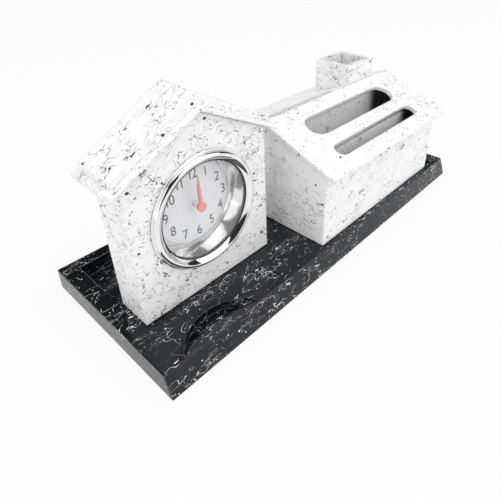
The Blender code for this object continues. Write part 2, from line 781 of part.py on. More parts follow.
def make_cover(cover_front):
    """Back plate between the shell's walls, open round the clock insert's back."""
    fit = CLOCK_HOUSE_WALL + SEAT_GAP
    outline = inset_gable(
        CLOCK_HALF_WIDTH, HOUSE_BOTTOM, CLOCK_SIDE_TOP, CLOCK_ROOF_PITCH, fit
    )
    place = facing_front(CLOCK_HOUSE_X, cover_front + CLOCK_COVER / 2, 0)
    cover = outline_solid("clock_house_back_cover", [outline], CLOCK_COVER, WHITE_MARBLE, place)
    cut(cover, rod(
        "cover_opening", COVER_OPENING, 3 * CLOCK_COVER, WHITE_MARBLE,
        facing_front(CLOCK_HOUSE_X, cover_front, DIAL_HEIGHT), steps=FINE_STEPS,
    ))
    for name, (x, z) in cover_screw_places():
        cut(cover, rod(
            name + "_hole", SCREW_SHANK + SCREW_CLEARANCE, 3 * CLOCK_COVER, WHITE_MARBLE,
            facing_front(x, cover_front, z),
        ))
    return cover


def make_clock_roof():
    front = CLOCK_FRONT - CLOCK_ROOF_FRONT_OVERHANG
    back = CLOCK_BACK + CLOCK_ROOF_BACK_OVERHANG
    place = facing_front(CLOCK_HOUSE_X, (front + back) / 2, 0)
    roof = gable_roof(
        "clock_house_roof", CLOCK_ROOF_HALF, back - front, CLOCK_EAVE_TOP, CLOCK_ROOF_PITCH,
        CLOCK_ROOF_BRIM, place,
    )
    return join(roof, raised_panel(
        "clock_roof_panel", CLOCK_ROOF_HALF, CLOCK_ROOF_PANEL_INSET, back - front, CLOCK_EAVE_TOP,
        (CLOCK_ROOF_PITCH, CLOCK_ROOF_PANEL_PITCH), CLOCK_ROOF_PANEL, place,
    ))


# Pen house: box with gabled ends, partitions, slotted roof and chimney

PEN_HALF_DEPTH = PEN_HOUSE_DEPTH / 2
PEN_ROOF_HALF = PEN_HALF_DEPTH + PEN_ROOF_EAVE_OVERHANG
PEN_ROOF_UNDERSIDE = (
    PEN_EAVE_TOP + PEN_ROOF_EAVE_OVERHANG * math.tan(PEN_ROOF_PITCH)
    - PEN_ROOF_BRIM / math.cos(PEN_ROOF_PITCH)
)
PEN_SIDE_TOP = PEN_ROOF_UNDERSIDE - SEAT_GAP
PEN_RIDGE_TOP = PEN_EAVE_TOP + PEN_ROOF_HALF * math.tan(PEN_ROOF_PITCH)
PEN_FLOOR_TOP = HOUSE_BOTTOM + PEN_HOUSE_FLOOR


def partition_places():
    """Name, Y and height of each partition, a little under the roof."""
    for name, setback in (
        ("front_partition", FRONT_PARTITION_SETBACK), ("rear_partition", REAR_PARTITION_SETBACK)
    ):
        top = PEN_SIDE_TOP + setback * math.tan(PEN_ROOF_PITCH) - PARTITION_TOP_GAP
        yield name, PEN_FRONT + setback, top


def make_pen_house():
    outer = gable_outline(PEN_HALF_DEPTH, HOUSE_BOTTOM, PEN_SIDE_TOP, PEN_ROOF_PITCH)
    place = along_ridge(PEN_HOUSE_X, PEN_RIDGE_Y, 0)
    shell = outline_solid("pen_house_shell", [outer], PEN_HOUSE_LENGTH, WHITE_MARBLE, place)
    round_edges(shell, HOUSE_CORNER_ROUND)
    left, right = PEN_LEFT + PEN_HOUSE_WALL, PEN_RIGHT - PEN_HOUSE_WALL
    cut(shell, box(
        "pen_house_room", (left, PEN_FRONT + PEN_HOUSE_WALL, PEN_FLOOR_TOP),
        (right, PEN_BACK - PEN_HOUSE_WALL, PEN_RIDGE_TOP), WHITE_MARBLE,
    ))
    for name, y, top in partition_places():
        add_partition(shell, name, y, top, left, right)
    for name, (x, y) in house_screw_places():
        if name.startswith("pen"):
            add_floor_boss(shell, name, x, y)


def add_partition(shell, name, y, top, left, right):
    """Upright plate held at both ends between two guide ribs of the shell."""
    half = PARTITION / 2
    box(
        name, (left + SEAT_GAP, y - half, PEN_FLOOR_TOP + SEAT_GAP),
        (right - SEAT_GAP, y + half, top), WHITE_MARBLE,
    )
    for end, wall, inward in (("left", left, 1), ("right", right, -1)):
        xs = sorted((wall - inward * SUNK, wall + inward * PARTITION_GUIDE_REACH))
        for side, outward in (("front", -1), ("back", 1)):
            near = y + outward * (half + SEAT_GAP)
            ys = sorted((near, near + outward * PARTITION_GUIDE))
            join(shell, box(
                f"{name}_guide_{end}_{side}", (xs[0], ys[0], PEN_FLOOR_TOP - SUNK),
                (xs[1], ys[1], top), WHITE_MARBLE,
            ))


def add_floor_boss(shell, name, x, y):
    middle = HOUSE_BOTTOM + SUNK + SCREW_BOSS_HEIGHT / 2
    join(shell, rod(name + "_boss", SCREW_BOSS, SCREW_BOSS_HEIGHT, WHITE_MARBLE, at(x, y, middle)))
    bore = SCREW_SHANK + SCREW_CLEARANCE
    cut(shell, rod(
        name + "_bore", bore, SCREW_BOSS_HEIGHT, WHITE_MARBLE, at(x, y, middle - 2 * OVERRUN)
    ))


def slot_cutter(name, length, width, shift, start, side):
    """Slot square to the roof's front (-1) or back (1) slope, start down from the ridge."""
    down = start + width / 2
    y = PEN_RIDGE_Y + side * down * math.cos(PEN_ROOF_PITCH)
    z = PEN_RIDGE_TOP - down * math.sin(PEN_ROOF_PITCH)
    place = at(PEN_HOUSE_X + shift, y, z) @ Matrix.Rotation(-side * PEN_ROOF_PITCH, 4, "X")
    return outline_solid(
        name, [slot_outline(length, width)], 4 * PEN_ROOF_BRIM, WHITE_MARBLE, place
    )


def make_pen_roof():
    length = PEN_HOUSE_LENGTH + 2 * PEN_ROOF_END_OVERHANG
    roof = gable_roof(
        "pen_house_roof", PEN_ROOF_HALF, length, PEN_EAVE_TOP, PEN_ROOF_PITCH, PEN_ROOF_BRIM,
        along_ridge(PEN_HOUSE_X, PEN_RIDGE_Y, 0),
    )
    half = PEN_HALF_DEPTH - PEN_HOUSE_WALL - SEAT_GAP
    under = PEN_ROOF_UNDERSIDE + (PEN_HOUSE_WALL + SEAT_GAP) * math.tan(PEN_ROOF_PITCH)
    pitch = PEN_ROOF_PITCH
    lip = chevron_outline(half, under + SUNK, under - PEN_ROOF_LIP_DROP, pitch, pitch)
    reach = PEN_HOUSE_LENGTH / 2 - PEN_HOUSE_WALL - SEAT_GAP - PEN_ROOF_LIP / 2
    for end, side in (("left", -1), ("right", 1)):
        join(roof, outline_solid(
            f"pen_roof_lip_{end}", [lip], PEN_ROOF_LIP, WHITE_MARBLE,
            along_ridge(PEN_HOUSE_X + side * reach, PEN_RIDGE_Y, 0),
        ))
    cut(roof, slot_cutter(
        "wide_slot", FRONT_SLOT_LENGTH, WIDE_SLOT_WIDTH, FRONT_SLOT_MIDDLE_SHIFT,
        WIDE_SLOT_START, -1,
    ))
    cut(roof, slot_cutter(
        "narrow_slot", FRONT_SLOT_LENGTH, NARROW_SLOT_WIDTH, FRONT_SLOT_MIDDLE_SHIFT,
        NARROW_SLOT_START, -1,
    ))
    cut(roof, slot_cutter(
        "rear_slot", REAR_SLOT_LENGTH, REAR_SLOT_WIDTH, REAR_SLOT_MIDDLE_SHIFT,
        REAR_SLOT_START, 1,
    ))
    cut(roof, chimney_block("chimney_hole", SEAT_GAP, PEN_SIDE_TOP, CHIMNEY_TOP))


def chimney_block(name, grown, bottom, top):
    """Upright block of the chimney's plan, each side moved out by grown."""
    across, deep = CHIMNEY_LENGTH / 2 + grown, CHIMNEY_DEPTH / 2 + grown
    return box(
        name, (CHIMNEY_X - across, CHIMNEY_Y - deep, bottom),
        (CHIMNEY_X + across, CHIMNEY_Y + deep, top), WHITE_MARBLE,
    )


def make_chimney():
    """Square tube through the roof, standing on the pen house's floor."""
    bottom = PEN_FLOOR_TOP + SEAT_GAP
    tube = chimney_block("chimney_tube", 0, bottom, CHIMNEY_TOP)
    round_edges(tube, ROOF_EDGE_ROUND)
    cut(tube, chimney_block("chimney_bore", -CHIMNEY_WALL, bottom - OVERRUN, CHIMNEY_TOP + OVERRUN))


# Push-in clock. Its empty stands on the dial's axis in the house's front face, so a piece
# of the clock has X to the right, Y up and minus its depth as Z.

def clock_axis():
    empty = bpy.data.objects.new("clock_axis", None)
    PARTS.objects.link(empty)
    empty.matrix_local = facing_front(CLOCK_HOUSE_X, CLOCK_FRONT, DIAL_HEIGHT)
    return empty


def behind(depth, spot=(0, 0)):
    return at(spot[0], spot[1], -depth)


PLATE_FRONT = DIAL_DEPTH + DIAL_THICKNESS + SEAT_GAP
PLATE_BACK = PLATE_FRONT + PLATE_THICKNESS
CUP_INNER = CUP_RADIUS - CUP_WALL
CUP_BACK_FACE = CUP_DEPTH - CUP_BACK


def layer_depth(index):
    """Middle of a layer of wheels, counted back from the main plate."""
    step = WHEEL_THICKNESS + LAYER_GAP
    return PLATE_BACK + LAYER_GAP + WHEEL_THICKNESS / 2 + index * step


HOUR_LAYER, MINUTE_LAYER, TRAIN_LAYER, FAST_LAYER = (layer_depth(index) for index in range(4))
BRIDGE_FRONT = FAST_LAYER + WHEEL_THICKNESS / 2 + LAYER_GAP
BRIDGE_BACK = BRIDGE_FRONT + BRIDGE_THICKNESS


def step_from(spot, distance, direction):
    return spot[0] + distance * math.cos(direction), spot[1] + distance * math.sin(direction)


def gear_distance(module, teeth, other_teeth):
    return module * (teeth + other_teeth) / 2


MOTION_DISTANCE = gear_distance(HOUR_MODULE, HOUR_TEETH, MINUTE_PINION_TEETH)
MINUTE_MODULE = 2 * MOTION_DISTANCE / (CANNON_TEETH + MINUTE_TEETH)
CENTRE_SPOT = (0, 0)
INTERMEDIATE_SPOT = step_from(
    CENTRE_SPOT, gear_distance(TRAIN_MODULE, CENTRE_TEETH, INTERMEDIATE_PINION_TEETH),
    INTERMEDIATE_DIRECTION,
)
ROTOR_SPOT = step_from(
    INTERMEDIATE_SPOT, gear_distance(ROTOR_MODULE, INTERMEDIATE_TEETH, ROTOR_PINION_TEETH),
    ROTOR_DIRECTION,
)
MINUTE_SPOT = step_from(CENTRE_SPOT, MOTION_DISTANCE, MINUTE_DIRECTION)
KNOB_SPOT = step_from(
    MINUTE_SPOT, gear_distance(MINUTE_MODULE, MINUTE_TEETH, SETTING_TEETH), MINUTE_DIRECTION
)
BATTERY_SPOT = (BATTERY_X, BATTERY_Y)
BRIDGE_SPOT = (-BRIDGE_SHIFT, BRIDGE_SHIFT)


def pillar_spots():
    """Three pillars between main plate and bridge, clear of every wheel."""
    reach = BRIDGE_RADIUS - PILLAR_RADIUS - LAYER_GAP
    for degrees in (3, 139, 192):
        yield step_from(BRIDGE_SPOT, reach, math.radians(degrees))


def bore_for(shaft, steps=SMALL_STEPS):
    """Radius of a faceted bore whose flats clear a turning shaft."""
    return (shaft + RUNNING_CLEARANCE) / math.cos(math.pi / steps)


def gear_outline(teeth, module, phase, tip_share):
    """Closed outline with one tooth centred on the phase angle."""
    pitch = 2 * math.pi / teeth
    root = module * (teeth / 2 - DEDENDUM_SHARE)
    tip = module * (teeth / 2 + ADDENDUM_SHARE)
    points = []
    for tooth in range(teeth):
        middle = phase + tooth * pitch
        for radius, share in ((root, -ROOT_SHARE), (tip, -tip_share), (tip, tip_share), (root, ROOT_SHARE)):
            turn = middle + share * pitch / 2
            points.append((radius * math.cos(turn), radius * math.sin(turn)))
    return points


def meshing_phase(teeth, phase, towards, other_teeth):
    """Phase of the gear met in the direction towards, so that its gaps take the teeth."""
    behind_line = (phase - towards) * teeth / other_teeth
    return towards + math.pi - behind_line + math.pi / other_teeth


def gear(name, teeth, module, phase, tip_share, depth, spot, axis, material, bore=None):
    loops = [gear_outline(teeth, module, phase, tip_share)]
    if bore:
        loops.append(circle((0, 0), bore, SMALL_STEPS))
    return outline_solid(name, loops, WHEEL_THICKNESS, material, behind(depth, spot), axis)


def add_shaft(item, name, radius, front, back, spot, axis, material):
    shaft = rod(name, radius, back - front, material, behind((front + back) / 2, spot), axis)
    return join(item, shaft)


def drill(item, name, radius, depth, spot, axis, thickness):
    hole = rod(name, radius, 3 * thickness, item.data.materials[0], behind(depth, spot), axis)
    return cut(item, hole)


# Case of the clock: bezel, lens, reflector, dial, cup and grip ring

def make_bezel(axis):
    """Rounded chrome ring that laps over the hole and holds the lens."""
    top = BEZEL_RISE
    crown = arc((BEZEL_RADIUS - BEZEL_ROUND, top - BEZEL_ROUND), BEZEL_ROUND, 90, 0, 4)
    profile = [(BEZEL_OPENING, SEAT_GAP + BEZEL_LIP)] + crown + [
        (BEZEL_RADIUS, SEAT_GAP), (BEZEL_OPENING, SEAT_GAP)
    ]
    turned("bezel", profile, CHROME, parent=axis, steps=FINE_STEPS, ring=True)


def make_lens(axis):
    profile = [(0, 0), (LENS_RADIUS, 0), (LENS_RADIUS, -LENS_THICKNESS), (0, -LENS_THICKNESS)]
    turned("lens", profile, CLEAR, parent=axis, steps=FINE_STEPS)


def make_reflector(axis):
    """Bright cone from the lens down to the visible edge of the dial."""
    front = LENS_THICKNESS + SEAT_GAP
    back = DIAL_DEPTH - SEAT_GAP
    profile = [
        (LENS_RADIUS - REFLECTOR_WALL, -front), (LENS_RADIUS, -front),
        (DIAL_SIGHT + REFLECTOR_WALL, -back), (DIAL_SIGHT, -back),
    ]
    turned("reflector", profile, CHROME, parent=axis, steps=FINE_STEPS, ring=True)


def make_dial(axis):
    hole = bore_for(HOUR_TUBE) + SEAT_GAP
    loops = [circle((0, 0), DIAL_RADIUS, FINE_STEPS), circle((0, 0), hole, SMALL_STEPS)]
    outline_solid(
        "dial", loops, DIAL_THICKNESS, DIAL_WHITE, behind(DIAL_DEPTH + DIAL_THICKNESS / 2), axis
    )


def make_cup(axis):
    """Plastic case with a ledge for the movement, a battery well and a hole for the knob."""
    ledge = CUP_INNER - CUP_LEDGE
    profile = [
        (0, -CUP_BACK_FACE), (ledge, -CUP_BACK_FACE), (ledge, -PLATE_BACK - SEAT_GAP),
        (CUP_INNER, -PLATE_BACK - SEAT_GAP), (CUP_INNER, 0), (CUP_RADIUS, 0),
        (CUP_RADIUS, -CUP_DEPTH), (0, -CUP_DEPTH),
    ]
    cup = turned("clock_cup", profile, GREY_PLASTIC, parent=axis, steps=FINE_STEPS)
    well_front = BATTERY_FRONT + SEAT_GAP
    inner = BATTERY_RADIUS + SEAT_GAP
    well = rod(
        "battery_well", inner + BATTERY_WELL_WALL, CUP_BACK_FACE - well_front + SUNK,
        GREY_PLASTIC, behind((well_front + CUP_BACK_FACE + SUNK) / 2, BATTERY_SPOT), axis,
        steps=ROUND_STEPS,
    )
    join(cup, well)
    cut(cup, rod(
        "battery_room", inner, 3 * BATTERY_THICKNESS, GREY_PLASTIC,
        behind((well_front + CUP_DEPTH) / 2, BATTERY_SPOT), axis, steps=ROUND_STEPS,
    ))
    groove = HATCH_LUG_THICKNESS + 2 * SEAT_GAP
    reach = inner + HATCH_LUG_REACH
    cut(cup, rod(
        "bayonet_groove", reach, groove, GREY_PLASTIC,
        behind(HATCH_LUG_DEPTH, BATTERY_SPOT), axis, steps=ROUND_STEPS,
    ))
    entry = box(
        "bayonet_entry", (-reach, -HATCH_LUG_WIDTH / 2 - SEAT_GAP, -OVERRUN),
        (reach, HATCH_LUG_WIDTH / 2 + SEAT_GAP, CUP_DEPTH - HATCH_LUG_DEPTH), GREY_PLASTIC, axis,
    )
    entry.matrix_local = (
        behind(CUP_DEPTH, BATTERY_SPOT) @ Matrix.Rotation(-HATCH_TURN, 4, "Z") @ entry.matrix_local
    )
    cut(cup, entry)
    drill(cup, "knob_hole", bore_for(STEM_RADIUS), CUP_DEPTH, KNOB_SPOT, axis, CUP_BACK)


def make_grip_ring(axis):
    """Rubber band that jams the cup in the hole of the house's front wall."""
    inner = CUP_RADIUS + GRIP_GAP
    middle = CLOCK_HOUSE_FRONT_WALL / 2
    front, back = middle - GRIP_LENGTH / 2, middle + GRIP_LENGTH / 2
    profile = [
        (inner, -front), (inner + GRIP_THICKNESS, -front), (inner + GRIP_THICKNESS, -back),
        (inner, -back),
    ]
    turned("grip_ring", profile, RUBBER, parent=axis, steps=FINE_STEPS, ring=True)


# Movement: plate and bridge, train of wheels, motor, board and battery

HATCH_FRONT = CUP_DEPTH - HATCH_THICKNESS
HATCH_LUG_DEPTH = HATCH_FRONT + SEAT_GAP + HATCH_LUG_THICKNESS / 2
BATTERY_SPRING_DEPTH = HATCH_FRONT - SEAT_GAP - CONTACT_THICKNESS / 2
BATTERY_FRONT = HATCH_FRONT - 2 * SEAT_GAP - CONTACT_THICKNESS - BATTERY_THICKNESS
STATOR_DEPTH = PLATE_BACK + SEAT_GAP + STATOR_THICKNESS / 2
COIL_DEPTH = PLATE_BACK + SEAT_GAP + BOBBIN_RADIUS
PIVOT_INSET = PLATE_THICKNESS / 4


def arbor_holes():
    """Spot and shaft radius of each hole that main plate and bridge share."""
    yield "intermediate_hole", INTERMEDIATE_SPOT, ARBOR_RADIUS
    yield "rotor_hole", ROTOR_SPOT, ROTOR_ARBOR
    yield "stem_hole", KNOB_SPOT, STEM_RADIUS


def make_main_plate(axis):
    middle = PLATE_FRONT + PLATE_THICKNESS / 2
    plate = rod(
        "main_plate", PLATE_RADIUS, PLATE_THICKNESS, NYLON, behind(middle), axis, steps=FINE_STEPS
    )
    stud_end = MINUTE_LAYER + WHEEL_THICKNESS / 2
    add_shaft(plate, "minute_stud", STUD_RADIUS, PLATE_BACK - SUNK, stud_end, MINUTE_SPOT, axis, NYLON)
    for index, spot in enumerate(pillar_spots()):
        pillar_end = BRIDGE_FRONT - SEAT_GAP
        name = f"pillar_{index + 1}"
        add_shaft(plate, name, PILLAR_RADIUS, PLATE_BACK - SUNK, pillar_end, spot, axis, NYLON)
        bore = rod(
            name + "_bore", PLATE_SCREW_SHANK + BRIDGE_GAP, 2 * PLATE_SCREW_LENGTH, NYLON,
            behind(pillar_end, spot), axis,
        )
        cut(plate, bore)
    drill(plate, "centre_hole", bore_for(HOUR_TUBE), middle, CENTRE_SPOT, axis, PLATE_THICKNESS)
    for name, spot, shaft in arbor_holes():
        drill(plate, "plate_" + name, bore_for(shaft), middle, spot, axis, PLATE_THICKNESS)


def make_bridge(axis):
    middle = BRIDGE_FRONT + BRIDGE_THICKNESS / 2
    bridge = rod(
        "bridge", BRIDGE_RADIUS, BRIDGE_THICKNESS, NYLON, behind(middle, BRIDGE_SPOT), axis,
        steps=ROUND_STEPS,
    )
    well = BATTERY_RADIUS + BATTERY_WELL_WALL + 2 * SEAT_GAP
    drill(bridge, "bridge_notch", well, middle, BATTERY_SPOT, axis, BRIDGE_THICKNESS)
    drill(bridge, "bridge_centre", bore_for(CENTRE_ARBOR), middle, CENTRE_SPOT, axis, BRIDGE_THICKNESS)
    for name, spot, shaft in arbor_holes():
        drill(bridge, "bridge_" + name, bore_for(shaft), middle, spot, axis, BRIDGE_THICKNESS)
    for index, spot in enumerate(pillar_spots()):
        name = f"bridge_screw_{index + 1}"
        drill(
            bridge, name + "_hole", PLATE_SCREW_SHANK + BRIDGE_GAP, middle, spot, axis,
            BRIDGE_THICKNESS,
        )
        screw(name, behind(BRIDGE_BACK + BRIDGE_GAP / 2, spot), axis, PLATE_SCREW)


def make_centre_wheel(axis):
    """Wheel driven by the train, with the cannon pinion that drives the motion work."""
    wheel = gear(
        "centre_wheel", CENTRE_TEETH, TRAIN_MODULE, 0, WHEEL_TIP_SHARE, TRAIN_LAYER, CENTRE_SPOT,
        axis, NYLON,
    )
    join(wheel, gear(
        "cannon_pinion", CANNON_TEETH, MINUTE_MODULE, 0, PINION_TIP_SHARE, MINUTE_LAYER,
        CENTRE_SPOT, axis, NYLON,
    ))
    front = MINUTE_HAND_DEPTH - MINUTE_HUB_HEIGHT / 2 + 2 * SEAT_GAP
    add_shaft(
        wheel, "centre_arbor", CENTRE_ARBOR, front, BRIDGE_BACK - BRIDGE_GAP / 2, CENTRE_SPOT, axis,
        NYLON,
    )


def make_hour_wheel(axis):
    phase = meshing_phase(
        MINUTE_PINION_TEETH, minute_pinion_phase(), MINUTE_DIRECTION + math.pi, HOUR_TEETH
    )
    wheel = gear(
        "hour_wheel", HOUR_TEETH, HOUR_MODULE, phase, WHEEL_TIP_SHARE, HOUR_LAYER, CENTRE_SPOT,
        axis, NYLON,
    )
    add_shaft(
        wheel, "hour_tube", HOUR_TUBE, HOUR_HAND_DEPTH, HOUR_LAYER, CENTRE_SPOT, axis, NYLON
    )
    drill(
        wheel, "hour_tube_bore", bore_for(CENTRE_ARBOR), HOUR_LAYER, CENTRE_SPOT, axis, HOUR_LAYER
    )


def minute_wheel_phase():
    return meshing_phase(CANNON_TEETH, 0, MINUTE_DIRECTION, MINUTE_TEETH)


def minute_pinion_phase():
    return 0


def make_minute_wheel(axis):
    bore = bore_for(STUD_RADIUS)
    wheel = gear(
        "minute_wheel", MINUTE_TEETH, MINUTE_MODULE, minute_wheel_phase(), WHEEL_TIP_SHARE,
        MINUTE_LAYER, MINUTE_SPOT, axis, NYLON,
    )
    join(wheel, gear(
        "minute_pinion", MINUTE_PINION_TEETH, HOUR_MODULE, minute_pinion_phase(),
        PINION_TIP_SHARE, HOUR_LAYER, MINUTE_SPOT, axis, NYLON,
    ))
    add_shaft(
        wheel, "minute_pipe", HOUR_MODULE * (MINUTE_PINION_TEETH / 2 - DEDENDUM_SHARE), HOUR_LAYER,
        MINUTE_LAYER, MINUTE_SPOT, axis, NYLON,
    )
    drill(wheel, "minute_bore", bore, MINUTE_LAYER, MINUTE_SPOT, axis, MINUTE_LAYER)


def intermediate_pinion_phase():
    return meshing_phase(
        CENTRE_TEETH, 0, INTERMEDIATE_DIRECTION, INTERMEDIATE_PINION_TEETH
    )


def make_intermediate_wheel(axis):
    wheel = gear(
        "intermediate_wheel", INTERMEDIATE_TEETH, ROTOR_MODULE, ROTOR_DIRECTION, WHEEL_TIP_SHARE,
        FAST_LAYER, INTERMEDIATE_SPOT, axis, NYLON,
    )
    join(wheel, gear(
        "intermediate_pinion", INTERMEDIATE_PINION_TEETH, TRAIN_MODULE,
        intermediate_pinion_phase(), PINION_TIP_SHARE, TRAIN_LAYER, INTERMEDIATE_SPOT, axis, NYLON,
    ))
    add_shaft(
        wheel, "intermediate_arbor", ARBOR_RADIUS, PLATE_FRONT + PIVOT_INSET,
        BRIDGE_BACK - BRIDGE_GAP / 2, INTERMEDIATE_SPOT, axis, NYLON,
    )


def make_rotor(axis):
    """Round magnet in the stator's hole, with the pinion that starts the train."""
    phase = meshing_phase(INTERMEDIATE_TEETH, ROTOR_DIRECTION, ROTOR_DIRECTION, ROTOR_PINION_TEETH)
    rotor = rod(
        "rotor", MAGNET_RADIUS, MAGNET_THICKNESS, STEEL,
        behind(PLATE_BACK + LAYER_GAP + MAGNET_THICKNESS / 2, ROTOR_SPOT), axis, steps=ROUND_STEPS,
    )
    add_shaft(
        rotor, "rotor_arbor", ROTOR_ARBOR, PLATE_FRONT + PIVOT_INSET, BRIDGE_BACK - BRIDGE_GAP / 2,
        ROTOR_SPOT, axis, STEEL,
    )
    join(rotor, gear(
        "rotor_pinion", ROTOR_PINION_TEETH, ROTOR_MODULE, phase, PINION_TIP_SHARE, FAST_LAYER,
        ROTOR_SPOT, axis, STEEL,
    ))


def stator_outline():
    """Two feet under the coil's core and a yoke round the rotor."""
    foot, half = COIL_FOOT_HALF, STATOR_HALF
    left, right = COIL_MIDDLE_X - COIL_FEET / 2, COIL_MIDDLE_X + COIL_FEET / 2
    rotor_x, rotor_y = ROTOR_SPOT
    return [
        (left - foot, COIL_Y + foot), (left - foot, COIL_Y - foot),
        (rotor_x - half, rotor_y - half * 2 / 3), (rotor_x - half / 2, rotor_y - half),
        (rotor_x + half / 2, rotor_y - half), (rotor_x + half, rotor_y - half * 2 / 3),
        (right + foot, COIL_Y - foot), (right + foot, COIL_Y + foot),
        (right - foot, COIL_Y + foot), (right - foot, COIL_Y - foot),
        (rotor_x, rotor_y + half), (left + foot, COIL_Y - foot), (left + foot, COIL_Y + foot),
    ]


def make_motor(axis):
    stator = outline_solid(
        "stator", [stator_outline()], STATOR_THICKNESS, STEEL, behind(STATOR_DEPTH), axis
    )
    drill(
        stator, "stator_hole", MAGNET_RADIUS + MAGNET_AIR_GAP, STATOR_DEPTH, ROTOR_SPOT, axis,
        STATOR_THICKNESS,
    )
    reach = COIL_FEET / 2 + COIL_FOOT_HALF
    core = box("coil_core", (-reach, -CORE_HALF, -CORE_HALF), (reach, CORE_HALF, CORE_HALF), STEEL, axis)
    spot = (COIL_MIDDLE_X, COIL_Y)
    core.matrix_local = behind(COIL_DEPTH, spot)
    lying = behind(COIL_DEPTH, spot) @ Matrix.Rotation(math.radians(90), 4, "Y")
    half = COIL_LENGTH / 2
    profile = [
        (0, half), (BOBBIN_RADIUS, half), (BOBBIN_RADIUS, half - BOBBIN_FLANGE),
        (BOBBIN_BARREL, half - BOBBIN_FLANGE), (BOBBIN_BARREL, BOBBIN_FLANGE - half),
        (BOBBIN_RADIUS, BOBBIN_FLANGE - half), (BOBBIN_RADIUS, -half), (0, -half),
    ]
    bobbin = turned("coil_bobbin", profile, BLACK_PLASTIC, lying, axis, steps=SMALL_STEPS)
    slack = CORE_HALF + COIL_GAP
    bore = box("core_bore", (-reach, -slack, -slack), (reach, slack, slack), BLACK_PLASTIC, axis)
    bore.matrix_local = behind(COIL_DEPTH, spot)
    cut(bobbin, bore)
    end = half - BOBBIN_FLANGE - COIL_GAP
    inner = BOBBIN_BARREL + COIL_GAP
    winding = [(inner, end), (COIL_RADIUS, end), (COIL_RADIUS, -end), (inner, -end)]
    turned("coil_winding", winding, COPPER, lying, axis, steps=SMALL_STEPS, ring=True)


def make_board(axis):
    depth = PLATE_BACK + SEAT_GAP + BOARD_THICKNESS / 2
    board = box(
        "circuit_board", (-BOARD_WIDTH / 2, -BOARD_HEIGHT / 2, -BOARD_THICKNESS / 2),
        (BOARD_WIDTH / 2, BOARD_HEIGHT / 2, BOARD_THICKNESS / 2), BOARD_GREEN, axis,
    )
    board.matrix_local = behind(depth, (BOARD_X, BOARD_Y))
    can_depth = depth + BOARD_THICKNESS / 2 + SEAT_GAP + CRYSTAL_RADIUS
    rod(
        "quartz_crystal", CRYSTAL_RADIUS, CRYSTAL_LENGTH, STEEL,
        behind(can_depth, (BOARD_X, BOARD_Y)) @ Matrix.Rotation(math.radians(90), 4, "X"), axis,
    )


def make_battery(axis):
    """Button cell with a contact strip before it and a cross spring behind it."""
    top, rim = BATTERY_THICKNESS / 2, BATTERY_RIM_ROUND
    profile = [
        (0, top), (BATTERY_RADIUS - rim, top), (BATTERY_RADIUS, top - rim),
        (BATTERY_RADIUS, rim - top), (BATTERY_RADIUS - rim, -top), (0, -top),
    ]
    turned("battery_cell", profile, STEEL, behind(BATTERY_FRONT + top, BATTERY_SPOT), axis)
    depth = BATTERY_FRONT - SEAT_GAP - CONTACT_THICKNESS / 2
    outer, inner = CONTACT_ARC_RADIUS + CONTACT_WIDTH / 2, CONTACT_ARC_RADIUS - CONTACT_WIDTH / 2
    towards = math.degrees(math.atan2(BATTERY_Y, BATTERY_X))
    board_end = math.degrees(math.atan2(BOARD_Y - BOARD_HEIGHT / 2 - CONTACT_WIDTH, BOARD_X))
    steps = SMALL_STEPS
    band = arc((0, 0), outer, board_end, towards, steps) + arc((0, 0), inner, towards, board_end, steps)
    strip = outline_solid("battery_contact", [band], CONTACT_THICKNESS, BRASS, behind(depth), axis)
    pad = CONTACT_ARC_RADIUS - math.hypot(BATTERY_X, BATTERY_Y)
    join(strip, rod("contact_pad", pad, CONTACT_THICKNESS, BRASS, behind(depth, BATTERY_SPOT), axis))
    arm = slot_outline(2 * pad, CONTACT_WIDTH)
    spring = outline_solid(
        "battery_spring", [arm], CONTACT_THICKNESS, BRASS,
        behind(BATTERY_SPRING_DEPTH, BATTERY_SPOT), axis,
    )
    join(spring, outline_solid(
        "spring_arm", [arm], CONTACT_THICKNESS, BRASS,
        behind(BATTERY_SPRING_DEPTH, BATTERY_SPOT) @ Matrix.Rotation(math.radians(90), 4, "Z"), axis,
    ))


def make_hatch(axis):
    """Round battery hatch; a coin turns it until its two lugs meet the entries."""
    middle = (HATCH_FRONT + CUP_DEPTH) / 2
    hatch = rod(
        "battery_hatch", BATTERY_RADIUS, HATCH_THICKNESS, GREY_PLASTIC,
        behind(middle, BATTERY_SPOT), axis, steps=ROUND_STEPS,
    )
    reach = BATTERY_RADIUS + HATCH_LUG_REACH
    half, rise = HATCH_LUG_WIDTH / 2, HATCH_LUG_THICKNESS / 2
    lugs = box("hatch_lugs", (-reach, -half, -rise), (reach, half, rise), GREY_PLASTIC, axis)
    lugs.matrix_local = behind(HATCH_LUG_DEPTH, BATTERY_SPOT)
    join(hatch, lugs)
    length, half = BATTERY_RADIUS * 2 / 3, HATCH_SLOT_WIDTH / 2
    slot = box(
        "coin_slot", (-length, -half, -OVERRUN), (length, half, HATCH_SLOT_DEPTH), GREY_PLASTIC, axis
    )
    slot.matrix_local = behind(CUP_DEPTH, BATTERY_SPOT)
    cut(hatch, slot)


def ridged_outline(radius, ridges, height):
    points = []
    for step in range(2 * ridges):
        turn = math.pi * step / ridges
        reach = radius - height * (step % 2)
        points.append((reach * math.cos(turn), reach * math.sin(turn)))
    return points


